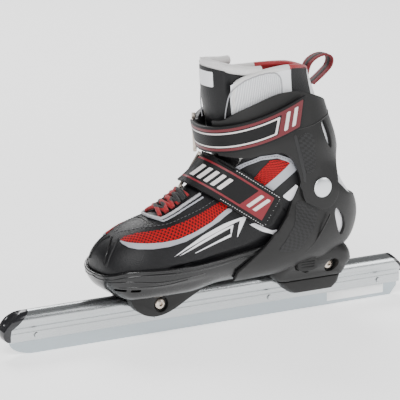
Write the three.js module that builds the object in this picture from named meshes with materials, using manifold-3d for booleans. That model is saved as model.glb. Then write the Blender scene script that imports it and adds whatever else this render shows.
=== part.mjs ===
// A left touring speed skate: a semi-soft, size-adjustable boot on a long straight runner.
// Millimetres, +Z up, toe towards -X, near (outer) side of the foot towards -Y.
// The origin is the middle of the flat running edge.
import * as THREE from 'three';
import { mergeVertices } from 'three/addons/utils/BufferGeometryUtils.js';
import Module from 'manifold-3d';

const wasm = await Module();
wasm.setup();

// ---- driving dimensions -------------------------------------------------------------------
const GAP = 0.35;                 // clearance between pieces that rest on each other

const RUNNER = { front: -203, rear: 205, thick: 1.6, top: 20.5, curl: 26, curlRise: 12.4, rearCut: 7 };
const TUBE = {
  z: 32, radius: 8.5, bore: 6.9, front: -203, rear: 206, neck: 4, skirtBottom: 12.6,
  frontSlope: 19, rearSlope: 14, rearCutZ: 26,
};
const PLUG = { front: 7.5, rear: 3.2, stub: 9 };
const RIVET = { radius: 1.5, head: 2.4, headThick: 0.9, z: 17, first: -177.6, pitch: 120, count: 4 };
const BOLT = { shank: 3, head: 5.6, headThick: 3.1, socket: 2.3, nut: 5.3, nutThick: 4.6 };
const FRONT_BOLT = { x: -61, z: 32, reach: 16.2 };
const REAR_BOLT = { x: 114.7, z: 46.5, reach: 22.5 };
const CUP = { halfLength: 12, halfWidth: 7.6, top: 54 };
const PLATE = { bottom: 41, top: 43.5, halfWidth: 9, flange: 20.6, front: -92, rear: 92 };
const LUG = { inner: 9, outer: 20, recess: 7.2, recessDepth: 3.9 };
const SHELL = { wall: 3, fit: 0.45, soleDrop: 5.4, toeEnd: 62 };
const LINER = { wall: 4.5, split: -63 };
const SLIDE = { travel: 20, step: 20 / 6 };
const RACK = { front: 62.5, rear: 113, tooth: 1.4, low: 46.1, mid: 48.5, top: 50, edge: 14, root: 10.4, groove: 7 };
const BUTTON = { x: 84.5, z: 53, halfX: 11, halfZ: 6.6, out: 34.5, thick: 5, press: 2.5, fit: 0.4, toothFit: 0.25 };
const PIVOT = { x: 90, z: 127.7, hole: 4.3, pin: 3.9, cover: 9.2, coverThick: 1.6 };
const CUFF = { wall: 3, over: 4.4, frontGap: 15 };
const STRAP = { thick: 2.1, cuffWidth: 26, instepWidth: 33 };
const RING = { wire: 1.7, inner: 27 };
const INSOLE = { thick: 2.6 };
const TONGUE = { thick: 7 };

// ---- colours ------------------------------------------------------------------------------
const paint = (color, roughness, metalness = 0) =>
  new THREE.MeshStandardMaterial({ color, roughness, metalness });
const STEEL = paint(0xc6cbcf, 0.3, 1);
const ALUMINIUM = paint(0xb9bdbf, 0.38, 1);
const NICKEL = paint(0xb8ab9a, 0.35, 1);
const CHARCOAL = paint(0x3a3a3c, 0.55);
const GLOSS_BLACK = paint(0x101012, 0.15);
const BLACK_CLOTH = paint(0x1b1b1e, 0.8);
const WHITE_CLOTH = paint(0xe4e5e8, 0.85);
const RED_CLOTH = paint(0xb81f2b, 0.8);
const SILVER = paint(0xcfd3d8, 0.4, 0.3);

const skate = new THREE.Group();
skate.name = 'speed_skate';
const bodies = {};
for (const name of ['root', 'toe', 'cuff', 'cuff_strap', 'instep_strap', 'size_button']) {
  bodies[name] = new THREE.Group();
  bodies[name].name = name;
  skate.add(bodies[name]);
}

// ---- solids -------------------------------------------------------------------------------
function toSolid(source) {
  const bare = source.index ? source.toNonIndexed() : source.clone();
  bare.deleteAttribute('normal');
  bare.deleteAttribute('uv');
  const geometry = mergeVertices(bare, 1e-4);
  const index = geometry.index.array;
  const kept = [];
  for (let i = 0; i < index.length; i += 3) {
    const [a, b, c] = [index[i], index[i + 1], index[i + 2]];
    if (a !== b && b !== c && c !== a) kept.push(a, b, c);
  }
  return new wasm.Manifold(new wasm.Mesh({
    numProp: 3,
    vertProperties: new Float32Array(geometry.attributes.position.array),
    triVerts: new Uint32Array(kept),
  }));
}

function toGeometry(solid) {
  const mesh = solid.getMesh();
  const positions = new Float32Array(mesh.numVert * 3);
  for (let i = 0; i < mesh.numVert; i += 1) {
    for (let k = 0; k < 3; k += 1) positions[3 * i + k] = mesh.vertProperties[i * mesh.numProp + k];
  }
  const geometry = new THREE.BufferGeometry();
  geometry.setAttribute('position', new THREE.BufferAttribute(positions, 3));
  geometry.setIndex(new THREE.BufferAttribute(new Uint32Array(mesh.triVerts), 1));
  geometry.computeVertexNormals();
  return geometry;
}

function add(body, name, solid, material) {
  const pieces = solid.decompose();
  pieces.sort((a, b) => b.volume() - a.volume());
  const mesh = new THREE.Mesh(toGeometry(pieces[0]), material);
  mesh.name = name;
  bodies[body].add(mesh);
  return pieces[0];
}

function box(low, high) {
  const geometry = new THREE.BoxGeometry(high[0] - low[0], high[1] - low[1], high[2] - low[2]);
  geometry.translate((low[0] + high[0]) / 2, (low[1] + high[1]) / 2, (low[2] + high[2]) / 2);
  return toSolid(geometry);
}

// A round bar along Y between two Y values.
function crossBar(x, z, radius, y0, y1, sides = 24) {
  const geometry = new THREE.CylinderGeometry(radius, radius, y1 - y0, sides);
  geometry.translate(x, (y0 + y1) / 2, z);
  return toSolid(geometry);
}

// A closed outline in side view (x, z), extruded between two Y values.
function sideSlab(outline, y0, y1) {
  const shape = new THREE.Shape(outline.map(([x, z]) => new THREE.Vector2(x, z)));
  const geometry = new THREE.ExtrudeGeometry(shape, { depth: y1 - y0, bevelEnabled: false });
  geometry.rotateX(Math.PI / 2);
  geometry.translate(0, y1, 0);
  return toSolid(geometry);
}

// The same outline with its corners rounded into a smooth closed curve.
function smoothSlab(points, y0, y1, steps = 48) {
  const curve = new THREE.CatmullRomCurve3(
    points.map(([x, z]) => new THREE.Vector3(x, z, 0)), true, 'centripetal');
  return sideSlab(curve.getPoints(steps).slice(0, steps).map((p) => [p.x, p.y]), y0, y1);
}

// ---- the boot's form ----------------------------------------------------------------------
// Each station is a plane across the boot, seen from the side as a line from its back or sole
// point to its front or top point. The planes fan round the instep: upright through the foot,
// level through the shaft. Columns: back x, back z, front x, front z, half width, level of the
// widest point, fullness below it and above it.
const STATIONS = [
  [-116.5, 70, -116.5, 70.4, 0.2, 0.5, 2, 2],
  [-115, 60.5, -115, 80, 15, 0.48, 2.2, 2],
  [-110, 53, -110, 88, 25.5, 0.42, 2.4, 2],
  [-100, 49.4, -100, 96, 34, 0.38, 2.8, 2],
  [-85, 49, -85, 104, 40.3, 0.36, 3, 1.9],
  [-66, 49, -68, 110, 43, 0.35, 3, 1.8],
  [-44, 49, -50, 117, 43, 0.34, 3, 1.7],
  [-20, 49, -36, 125, 41, 0.34, 3, 1.7],
  [5, 49, -26, 131.5, 39, 0.35, 3, 1.7],
  [30, 49.2, -18, 137, 38, 0.36, 3, 1.7],
  [58, 51, -11, 142, 38.5, 0.38, 3, 1.8],
  [86, 56, -6, 146.5, 39.5, 0.4, 2.9, 1.9],
  [112, 59.5, -2, 150, 40.5, 0.42, 2.7, 2],
  [137, 66, 1.5, 153, 41.5, 0.44, 2.4, 2],
  [147.5, 84, 4, 156, 42, 0.45, 2.2, 2.1],
  [146, 103, 5, 160, 42, 0.46, 2.2, 2.1],
  [134.5, 122, 5, 165, 41.5, 0.47, 2.2, 2.2],
  [123.5, 142, 3.5, 172, 41, 0.48, 2.2, 2.2],
  [119.5, 165, 1, 182, 40, 0.5, 2.2, 2.2],
  [112, 187, -2, 194, 38, 0.5, 2.2, 2.2],
  [105, 208, -5, 208, 36, 0.5, 2.2, 2.2],
  [98, 228, -7, 224, 34.5, 0.5, 2.2, 2.2],
  [94, 252, -8, 246, 34, 0.5, 2.2, 2.2],
];
const LAST = STATIONS.length - 1;

function station(s) {
  const clamped = Math.min(Math.max(s, 0), LAST);
  const i = Math.min(Math.floor(clamped), LAST - 1);
  const t = clamped - i;
  const row = (k) => STATIONS[Math.min(Math.max(k, 0), LAST)];
  const [p0, p1, p2, p3] = [row(i - 1), row(i), row(i + 1), row(i + 2)];
  return p1.map((v, k) => 0.5 * (2 * v + (p2[k] - p0[k]) * t
    + (2 * p0[k] - 5 * v + 4 * p2[k] - p3[k]) * t * t
    + (3 * v - p0[k] - 3 * p2[k] + p3[k]) * t * t * t));
}

// The point of the boot at station s and angle a: 0 at the back or sole, pi at the front or top,
// positive on the far side.
function formPoint(s, a) {
  const [bx, bz, fx, fz, width, mid, low, high] = station(s);
  const c = Math.cos(a);
  const power = c > 0 ? low : high;
  const along = c > 0 ? mid - mid * c ** (2 / power) : mid + (1 - mid) * (-c) ** (2 / power);
  const side = Math.sign(Math.sin(a)) * Math.abs(Math.sin(a)) ** (2 / power);
  return new THREE.Vector3(bx + (fx - bx) * along, width * side, bz + (fz - bz) * along);
}

function formNormal(s, a) {
  const h = 0.04;
  const s0 = Math.max(s, 0.25);
  const ds = formPoint(s0 + h, a).sub(formPoint(s0 - h, a));
  const da = formPoint(s0, a + h).sub(formPoint(s0, a - h));
  const normal = ds.cross(da).normalize();
  const [bx, bz, fx, fz, , mid] = station(s0);
  const centre = new THREE.Vector3(bx + (fx - bx) * mid, 0, bz + (fz - bz) * mid);
  return normal.dot(formPoint(s0, a).sub(centre)) < 0 ? normal.negate() : normal;
}

function grown(s, a, offset) {
  return formPoint(s, a).addScaledVector(formNormal(s, a), offset);
}

// A closed solid of the boot's form between two stations, grown by offset(s, a). All of them are
// cut into the same rows, so that two of them stay parallel.
const ROWS = [0, 0.35, 0.9, 1.6, 2.4, 3.4, 4.8, 6.4, 8, 9.6, 11, 12.2, 13.2, 14.1, 15, 16, 17.2, 18.6, 20.2, LAST];
const AROUND = 22;
function formSolid(offset, s0 = 0, s1 = LAST) {
  const grow = typeof offset === 'function' ? offset : () => offset;
  const around = AROUND;
  const levels = ROWS.filter((s) => s >= s0 && s <= s1);
  const rows = levels.length - 1;
  const positions = [];
  for (const s of levels) {
    for (let j = 0; j < around; j += 1) {
      const a = -Math.PI + (2 * Math.PI * (j + 0.5)) / around;
      const p = grown(s, a, grow(s, a));
      positions.push(p.x, p.y, p.z);
    }
  }
  const middle = (i) => {
    const sum = [0, 0, 0];
    for (let j = 0; j < around; j += 1) {
      for (let k = 0; k < 3; k += 1) sum[k] += positions[3 * (i * around + j) + k] / around;
    }
    return sum;
  };
  const first = positions.length / 3;
  positions.push(...middle(0), ...middle(rows));
  const index = [];
  for (let i = 0; i < rows; i += 1) {
    for (let j = 0; j < around; j += 1) {
      const k = (j + 1) % around;
      const [p, q, r, t] = [i * around + j, i * around + k, (i + 1) * around + k, (i + 1) * around + j];
      index.push(p, q, r, p, r, t);
    }
  }
  for (let j = 0; j < around; j += 1) {
    const k = (j + 1) % around;
    index.push(first, k, j, first + 1, rows * around + j, rows * around + k);
  }
  const make = (flip) => {
    const order = flip ? index.map((v, n) => index[n - (n % 3) + [0, 2, 1][n % 3]]) : index;
    return new wasm.Manifold(new wasm.Mesh({
      numProp: 3, vertProperties: new Float32Array(positions), triVerts: new Uint32Array(order),
    }));
  };
  const solid = make(false);
  return solid.volume() > 0 ? solid : make(true);
}

const smooth = (x, a, b) => {
  const t = Math.min(Math.max((x - a) / (b - a), 0), 1);
  return t * t * (3 - 2 * t);
};
const WIDE = 80;
const sheetBox = (x0, x1, z0, z1) => box([x0, -WIDE, z0], [x1, WIDE, z1]);

// ---- blade unit ---------------------------------------------------------------------------
function runnerOutline() {
  const points = [];
  const { front, rear, top, curl, curlRise, rearCut } = RUNNER;
  for (let i = 0; i <= 8; i += 1) {
    const a = (Math.PI / 2) * (1 - i / 8);
    points.push([front + curl - curl * Math.sin(a), curlRise - curlRise * Math.cos(a)]);
  }
  points.push([rear - rearCut, 0], [rear, rearCut * 1.2], [rear, top], [front + 8, top], [front, curlRise + 1]);
  return points;
}

function tubeSection(grow, boreRadius) {
  const shape = new THREE.Shape();
  const radius = TUBE.radius + grow;
  const neck = TUBE.neck + grow;
  const slot = RUNNER.thick / 2 + 0.3;
  const turn = Math.asin(neck / radius);
  const bottom = TUBE.skirtBottom;
  shape.moveTo(neck, bottom);
  for (let i = 0; i <= 28; i += 1) {
    const a = -Math.PI / 2 + turn + ((2 * Math.PI - 2 * turn) * i) / 28;
    shape.lineTo(radius * Math.cos(a), TUBE.z + radius * Math.sin(a));
  }
  shape.lineTo(-neck, bottom);
  if (boreRadius > 0) {
    shape.lineTo(-slot, bottom);
    shape.lineTo(-slot, RUNNER.top + 0.3);
    shape.lineTo(slot, RUNNER.top + 0.3);
    shape.lineTo(slot, bottom);
    const hole = new THREE.Path();
    hole.absarc(0, TUBE.z, boreRadius, 0, 2 * Math.PI, true);
    shape.holes.push(hole);
  }
  return shape;
}

function alongX(shape, x0, x1, curveSegments = 12) {
  const geometry = new THREE.ExtrudeGeometry(shape, { depth: x1 - x0, bevelEnabled: false, curveSegments });
  geometry.rotateX(Math.PI / 2);
  geometry.rotateZ(Math.PI / 2);
  geometry.translate(x0, 0, 0);
  return toSolid(geometry);
}

const tubeTop = TUBE.z + TUBE.radius;
// The slanted front end: from the top of the tube down and forward to its lower half.
const frontEnd = (shift, depth) => sideSlab([
  [TUBE.front - shift, TUBE.skirtBottom - 5], [TUBE.front - shift, TUBE.z - 7],
  [TUBE.front + TUBE.frontSlope - shift, tubeTop + 1], [TUBE.front + TUBE.frontSlope - shift, tubeTop + 12],
  [TUBE.front - shift - depth, tubeTop + 12], [TUBE.front - shift - depth, TUBE.skirtBottom - 5]], -WIDE, WIDE);
const rearEnd = (shift, depth) => sideSlab([
  [TUBE.rear + shift, TUBE.skirtBottom - 5], [TUBE.rear + shift + depth, TUBE.skirtBottom - 5],
  [TUBE.rear + shift + depth, tubeTop + 12], [TUBE.rear - TUBE.rearSlope + shift, tubeTop + 12],
  [TUBE.rear - TUBE.rearSlope + shift, tubeTop + 1], [TUBE.rear + shift, TUBE.rearCutZ]], -WIDE, WIDE);

const rivetX = Array.from({ length: RIVET.count }, (_, i) => RIVET.first + i * RIVET.pitch);
const rivetHoles = (solid, radius) => rivetX.reduce(
  (left, x) => left.subtract(crossBar(x, RIVET.z, radius, -WIDE, WIDE, 16)), solid);

let runner = sideSlab(runnerOutline(), -RUNNER.thick / 2, RUNNER.thick / 2);
runner = rivetHoles(runner, RIVET.radius + GAP);
add('root', 'blade_runner', runner, STEEL);

let tube = alongX(tubeSection(0, TUBE.bore), TUBE.front, TUBE.rear);
tube = tube.subtract(frontEnd(0, 40)).subtract(rearEnd(0, 40));
tube = rivetHoles(tube, RIVET.radius + GAP);
tube = tube.subtract(crossBar(FRONT_BOLT.x, FRONT_BOLT.z, BOLT.shank + GAP, -WIDE, WIDE));
add('root', 'blade_tube', tube, ALUMINIUM);

const fullBar = alongX(tubeSection(0, 0), TUBE.front - 30, TUBE.rear + 30);
const frontPlugLimit = frontEnd(0.3, 60).subtract(frontEnd(0.3 + PLUG.front, 60));
const frontStub = alongX(new THREE.Shape().absarc(0, TUBE.z, TUBE.bore - GAP, 0, 2 * Math.PI),
  TUBE.front + 4, TUBE.front + TUBE.frontSlope + PLUG.stub);
const clearRunner = box([-WIDE * 4, -RUNNER.thick / 2 - GAP, 0], [WIDE * 4, RUNNER.thick / 2 + GAP, RUNNER.top + GAP]);
const frontPlug = fullBar.intersect(frontPlugLimit)
  .add(frontStub.subtract(frontEnd(PLUG.front - 1, 60))).subtract(clearRunner);
add('root', 'front_tube_plug', frontPlug, GLOSS_BLACK);
const rearPlugLimit = rearEnd(0.3, 60).subtract(rearEnd(0.3 + PLUG.rear, 60));
const rearStub = alongX(new THREE.Shape().absarc(0, TUBE.z, TUBE.bore - GAP, 0, 2 * Math.PI),
  TUBE.rear - TUBE.rearSlope - PLUG.stub, TUBE.rear + 1);
const rearPlug = fullBar.intersect(rearPlugLimit).intersect(sheetBox(150, 260, TUBE.rearCutZ - 3, 60))
  .add(rearStub.subtract(rearEnd(1, 60))).subtract(clearRunner);
add('root', 'rear_tube_plug', rearPlug, GLOSS_BLACK);

rivetX.forEach((x, i) => {
  const half = TUBE.neck + GAP;
  let rivet = crossBar(x, RIVET.z, RIVET.radius, -half - 0.1, half + 0.1, 12);
  rivet = rivet.add(crossBar(x, RIVET.z, RIVET.head, -half - RIVET.headThick, -half, 12));
  rivet = rivet.add(crossBar(x, RIVET.z, RIVET.head, half, half + RIVET.headThick, 12));
  add('root', `runner_rivet_${i + 1}`, rivet, ALUMINIUM);
});

const tubeClear = alongX(tubeSection(GAP, 0), -WIDE * 3, WIDE * 3)
  .add(sheetBox(-WIDE * 3, WIDE * 3, 0, 1).intersect(box([-240, -9, 0], [240, 9, 1])));
let cup = box([REAR_BOLT.x - CUP.halfLength, -CUP.halfWidth, TUBE.z + 2],
  [REAR_BOLT.x + CUP.halfLength, CUP.halfWidth, CUP.top]);
cup = cup.subtract(tubeClear).subtract(crossBar(REAR_BOLT.x, REAR_BOLT.z, BOLT.shank + GAP, -WIDE, WIDE));
add('root', 'rear_cup', cup, ALUMINIUM);

// ---- base plate with its two half-moon lugs -------------------------------------------------
const lugOutline = [[-93, PLATE.top], [-91, 37], [-86, 30], [-78, 24.3], [-68, 21.6], [-57, 22.6],
  [-46, 26.6], [-34, 33], [-24, 38], [-13, PLATE.top]];
const lugs = sideSlab(lugOutline, -LUG.outer, -LUG.inner).add(sideSlab(lugOutline, LUG.inner, LUG.outer));
let plate = box([PLATE.front, -PLATE.halfWidth, PLATE.bottom], [PLATE.rear, PLATE.halfWidth, PLATE.top])
  .add(box([PLATE.front, -PLATE.flange, PLATE.bottom - 0.5], [-13, PLATE.flange, PLATE.top])).add(lugs);
plate = plate.subtract(tubeClear)
  .subtract(crossBar(FRONT_BOLT.x, FRONT_BOLT.z, BOLT.shank + GAP, -WIDE, WIDE))
  .subtract(crossBar(FRONT_BOLT.x, FRONT_BOLT.z, LUG.recess, -LUG.outer - 5, -LUG.outer + LUG.recessDepth))
  .subtract(crossBar(FRONT_BOLT.x, FRONT_BOLT.z, LUG.recess, LUG.outer - LUG.recessDepth, LUG.outer + 5));
add('root', 'base_plate', plate, CHARCOAL);

// ---- bolts and nuts -------------------------------------------------------------------------
function buttonHead(x, z, y, sign) {
  const profile = [[0, 0], [BOLT.head, 0], [BOLT.head, 0.8]];
  for (let i = 1; i <= 5; i += 1) {
    const a = (Math.PI / 2) * (i / 5);
    profile.push([2.9 + (BOLT.head - 2.9) * Math.cos(a), 0.8 + (BOLT.headThick - 0.8) * Math.sin(a)]);
  }
  profile.push([0, BOLT.headThick]);
  const geometry = new THREE.LatheGeometry(profile.map(([r, h]) => new THREE.Vector2(r, h)), 20);
  if (sign < 0) geometry.rotateX(Math.PI);
  geometry.translate(x, y, z);
  return toSolid(geometry);
}

function crossBolt(place, headY) {
  const nutY = -headY;
  const socket = new THREE.CylinderGeometry(BOLT.socket, BOLT.socket, 4, 6);
  socket.translate(place.x, headY - BOLT.headThick, place.z);
  const bolt = buttonHead(place.x, place.z, headY, -1)
    .add(crossBar(place.x, place.z, BOLT.shank, headY - 0.1, nutY + BOLT.nutThick - 0.4, 16))
    .subtract(toSolid(socket));
  const body = new THREE.CylinderGeometry(BOLT.nut, BOLT.nut, BOLT.nutThick, 6);
  body.translate(place.x, nutY + BOLT.nutThick / 2, place.z);
  const nut = toSolid(body).subtract(crossBar(place.x, place.z, BOLT.shank + 0.3, -WIDE, WIDE, 16));
  return [bolt, nut];
}
const [frontBolt, frontNut] = crossBolt(FRONT_BOLT, -(LUG.outer - LUG.recessDepth) - GAP);
add('root', 'front_bolt', frontBolt, NICKEL);
add('root', 'front_nut', frontNut, NICKEL);
const [rearBolt, rearNut] = crossBolt(REAR_BOLT, -REAR_BOLT.reach + 2.6);
add('root', 'rear_bolt', rearBolt, NICKEL);
add('root', 'rear_nut', rearNut, NICKEL);

// ---- toe shell ------------------------------------------------------------------------------
const soleward = (a) => smooth(Math.cos(a), 0.45, 0.85);
const toeOut = (s, a) => SHELL.fit + SHELL.wall
  + SHELL.soleDrop * soleward(a) * smooth(s, 2.2, 3.6) * (1 - 0.8 * smooth(s, 6, 7.8));
const RIM = [[-140, 65], [-118, 65.5], [-104, 71.5], [-85, 72.5], [-60, 71.5], [-40, 71], [-15, 72.2],
  [10, 75], [29, 77.5], [SHELL.toeEnd, 82]];
const linerHollow = formSolid(SHELL.fit);
const toeOutline = [...RIM, [SHELL.toeEnd, 36], [-140, 36]];
let toeShell = formSolid(toeOut, 0, 13).subtract(linerHollow)
  .intersect(sideSlab(toeOutline, -WIDE, WIDE));
const plateChannel = box([-97, -PLATE.flange - GAP, 30], [WIDE * 2, PLATE.flange + GAP, PLATE.top + GAP]);
toeShell = toeShell.subtract(plateChannel);
const vent = (x0, x1, z) => box([x0, -60, z - 1.1], [x1, -10, z + 1.1]);
toeShell = toeShell.subtract(tubeClear);
toeShell = toeShell.subtract(vent(-111, -102.5, 53.4)).subtract(vent(-100, -91, 53));
add('toe', 'toe_shell', toeShell, CHARCOAL);

// ---- size rack and lock button --------------------------------------------------------------
let rack = box([RACK.front, -RACK.groove, RACK.low], [RACK.rear, 12, RACK.top])
  .add(box([RACK.front, -RACK.edge, RACK.mid], [RACK.rear, -RACK.groove + 1, RACK.top]));
for (let k = -1; k <= 5; k += 1) {
  const x = BUTTON.x + (k - 0.5) * SLIDE.step;
  rack = rack.add(box([x - RACK.tooth / 2, -RACK.edge, RACK.low], [x + RACK.tooth / 2, -RACK.root, RACK.mid + 0.2]));
}
rack = rack.subtract(box([REAR_BOLT.x - CUP.halfLength - 1.2, -WIDE, 0], [WIDE * 2, WIDE, WIDE]));
add('toe', 'size_rack', rack, ALUMINIUM);

const buttonCap = (grow, y0, y1) => {
  const w = BUTTON.halfX + grow;
  const h = BUTTON.halfZ + grow;
  return smoothSlab([[BUTTON.x - w, BUTTON.z + 0.3 * h], [BUTTON.x - 0.75 * w, BUTTON.z - 0.8 * h],
    [BUTTON.x + 0.1 * w, BUTTON.z - h], [BUTTON.x + 0.85 * w, BUTTON.z - 0.7 * h], [BUTTON.x + w, BUTTON.z + 0.1 * h],
    [BUTTON.x + 0.6 * w, BUTTON.z + 0.9 * h], [BUTTON.x - 0.6 * w, BUTTON.z + h]], y0, y1, 28);
};
const stemBottom = PLATE.top + GAP + 0.25;
const buttonTooth = (SLIDE.step - RACK.tooth) / 2 - BUTTON.toothFit;
let button = buttonCap(0, -BUTTON.out, -BUTTON.out + BUTTON.thick)
  .add(box([BUTTON.x - 1.5, -BUTTON.out + 0.5, stemBottom], [BUTTON.x + 1.5, -RACK.groove - 3.6, RACK.low - GAP]))
  .add(box([BUTTON.x - 3, -BUTTON.out + 0.5, stemBottom], [BUTTON.x + 3, -BUTTON.out + BUTTON.thick, BUTTON.z]))
  .add(box([BUTTON.x - buttonTooth, -RACK.edge + 0.3, stemBottom], [BUTTON.x + buttonTooth, -RACK.root - 0.3, RACK.mid - GAP]));
add('size_button', 'size_lock_button', button, CHARCOAL);

class Coil extends THREE.Curve {
  constructor(radius, length, turns) {
    super();
    Object.assign(this, { radius, length, turns });
  }

  getPoint(t, target = new THREE.Vector3()) {
    const a = 2 * Math.PI * this.turns * t;
    return target.set(this.radius * Math.cos(a), this.length * t, this.radius * Math.sin(a));
  }
}
const coilRound = new THREE.Shape().absarc(0, 0, 0.4, 0, 2 * Math.PI);
const springGeometry = new THREE.ExtrudeGeometry(coilRound,
  { steps: 24, curveSegments: 4, bevelEnabled: false, extrudePath: new Coil(2.9, 2.2, 2.5) });
springGeometry.translate(BUTTON.x, -BUTTON.out + BUTTON.thick + BUTTON.press + 0.9, BUTTON.z - 0.8);
add('root', 'button_spring', toSolid(springGeometry), STEEL);

// ---- heel shell -----------------------------------------------------------------------------
// It laps over the toe shell in front and hugs the liner behind.
const lap = (s) => 1 - smooth(s, 11.7, 13.2);
const heelInner = (s, a) => SHELL.fit + toeOut(s, a) * lap(s);
const heelOuter = (s, a) => heelInner(s, a) + SHELL.wall;
const heelHollow = formSolid(heelInner, 6, 20);
const heelOutline = [[6, 38], [6, 57], [15, 64.5], [31, 77], [46, 92], [56, 107], [64, 121], [71, 134], [80, 142],
  [98, 142], [107, 136], [113, 129], [126, 117], [136, 111], [160, 107], [160, 38]];
let heelShell = formSolid(heelOuter, 6, 20).intersect(sideSlab(heelOutline, -WIDE, WIDE));

function blockLoft(levels, corner = 4) {
  const around = 4 * corner + 4;
  const positions = [];
  for (const [z, x0, x1, half, radius] of levels) {
    const corners = [[x1 - radius, half - radius, 0], [x0 + radius, half - radius, 1],
      [x0 + radius, radius - half, 2], [x1 - radius, radius - half, 3]];
    for (const [cx, cy, quarter] of corners) {
      for (let i = 0; i <= corner; i += 1) {
        const a = (Math.PI / 2) * (quarter + i / corner);
        positions.push(cx + radius * Math.cos(a), cy + radius * Math.sin(a), z);
      }
    }
  }
  const top = levels.length - 1;
  const index = [];
  for (let i = 0; i < top; i += 1) {
    for (let j = 0; j < around; j += 1) {
      const k = (j + 1) % around;
      const [p, q, r, t] = [i * around + j, i * around + k, (i + 1) * around + k, (i + 1) * around + j];
      index.push(p, q, r, p, r, t);
    }
  }
  for (let j = 1; j < around - 1; j += 1) index.push(0, j + 1, j, top * around, top * around + j, top * around + j + 1);
  return new wasm.Manifold(new wasm.Mesh({
    numProp: 3, vertProperties: new Float32Array(positions), triVerts: new Uint32Array(index),
  }));
}
const pedestal = blockLoft([
  [22, 78, 124, 19, 6], [27, 71, 129, 19.6, 6], [33.6, 65, 131, 20, 6], [34, 66.5, 130, 19, 6],
  [34.6, 66.5, 130, 19, 6], [35, 62, 133, 21.5, 7], [41, 57, 136, 24, 9], [50, 56, 140, 30, 13],
  [58, 60, 141, 33, 17], [66, 66, 141, 35, 22]]);
heelShell = heelShell.add(pedestal).subtract(heelHollow).subtract(linerHollow);
const stemSlot = box([BUTTON.x - 1.5 - GAP, -WIDE, PLATE.top + GAP - 0.1], [BUTTON.x + 1.5 + GAP, 0, RACK.low]);
const rackRun = box([RACK.front - SLIDE.travel - 3, -RACK.edge - GAP, RACK.low - GAP],
  [REAR_BOLT.x - CUP.halfLength - 0.5, 12 + GAP, RACK.top + GAP]);
const cupPocket = box([REAR_BOLT.x - CUP.halfLength - GAP, -CUP.halfWidth - GAP, 0],
  [REAR_BOLT.x + CUP.halfLength + GAP, CUP.halfWidth + GAP, CUP.top + GAP]);
const plateSlot = box([0, -PLATE.halfWidth - GAP, 20], [PLATE.rear + GAP, PLATE.halfWidth + GAP, PLATE.top + GAP]);
const boltRecess = BOLT.head + 1.4;
const headSeat = REAR_BOLT.reach - 2.6 - GAP;
const buttonPocket = buttonCap(BUTTON.fit, -WIDE, -BUTTON.out + BUTTON.thick + BUTTON.press + 0.5)
  .add(box([BUTTON.x - 3 - BUTTON.fit, -WIDE, PLATE.top + GAP - 0.1],
    [BUTTON.x + 3 + BUTTON.fit, -BUTTON.out + BUTTON.thick + BUTTON.press + 0.5, BUTTON.z]));
heelShell = heelShell.subtract(tubeClear).subtract(cupPocket).subtract(plateSlot).subtract(rackRun)
  .subtract(stemSlot).subtract(buttonPocket)
  .subtract(crossBar(BUTTON.x, BUTTON.z - 0.8, 3.8, -BUTTON.out + 5, -BUTTON.out + BUTTON.thick + BUTTON.press + 4.2, 20))
  .subtract(crossBar(REAR_BOLT.x, REAR_BOLT.z, BOLT.shank + GAP, -WIDE, WIDE))
  .subtract(crossBar(REAR_BOLT.x, REAR_BOLT.z, boltRecess, -WIDE, -headSeat))
  .subtract(crossBar(REAR_BOLT.x, REAR_BOLT.z, boltRecess, headSeat, WIDE))
  .subtract(crossBar(PIVOT.x, PIVOT.z, PIVOT.hole, -WIDE, WIDE));
const heelWindow = [[110, 105], [115, 101], [120, 93], [122, 84], [119, 77], [114, 82], [110, 92], [108, 100]];
heelShell = heelShell.subtract(smoothSlab(heelWindow, -WIDE, -8, 24)).subtract(smoothSlab(heelWindow, 8, WIDE, 24));
add('root', 'heel_shell', heelShell, CHARCOAL);

// ---- cuff -----------------------------------------------------------------------------------
const cuffIn = CUFF.over;
const cuffOutline = [[140, 150], [124, 158], [117, 154], [113, 143], [111, 130], [109.5, 119], [102, 109.5],
  [91, 106.8], [80, 109.5], [72, 117], [68.5, 128], [65.5, 142], [60, 155], [52, 162], [43, 164.3],
  [28, 162.4], [14, 159.9], [-6, 161], [-40, 163], [-40, 196], [-6, 193], [9.5, 203], [38, 214.5],
  [55, 217.5], [74, 216], [96, 208], [112, 201], [140, 196]];
let cuff = formSolid(cuffIn + CUFF.wall, 11, 22).subtract(formSolid(cuffIn, 10, 22))
  .intersect(sideSlab(cuffOutline, -WIDE, WIDE));
cuff = cuff.subtract(box([-60, -CUFF.frontGap, 100], [40, CUFF.frontGap, 260]));
const cuffWindow = [[95, 184], [99.5, 187], [104, 178], [107, 167], [106, 160.5], [102, 164], [97.5, 174]];
cuff = cuff.subtract(smoothSlab(cuffWindow, -WIDE, -8, 24)).subtract(smoothSlab(cuffWindow, 8, WIDE, 24))
  .subtract(crossBar(PIVOT.x, PIVOT.z, PIVOT.hole, -WIDE, WIDE));
// The far side's front wing is lower, so it stays behind the tongue.
cuff = cuff.subtract(sideSlab([[-60, 189], [0, 189], [30, 200], [62, 216], [62, 300], [-60, 300]], 0, WIDE));
const cuffSolid = add('cuff', 'cuff', cuff, CHARCOAL);


// ---- liner ----------------------------------------------------------------------------------
const linerOuter = formSolid(0);
const linerInner = formSolid(-LINER.wall, 0.3, LAST);
const linerToe = linerOuter.subtract(linerInner).intersect(sheetBox(-140, LINER.split - 0.6, 20, 140));
add('toe', 'liner_toe', linerToe, BLACK_CLOTH);

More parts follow.
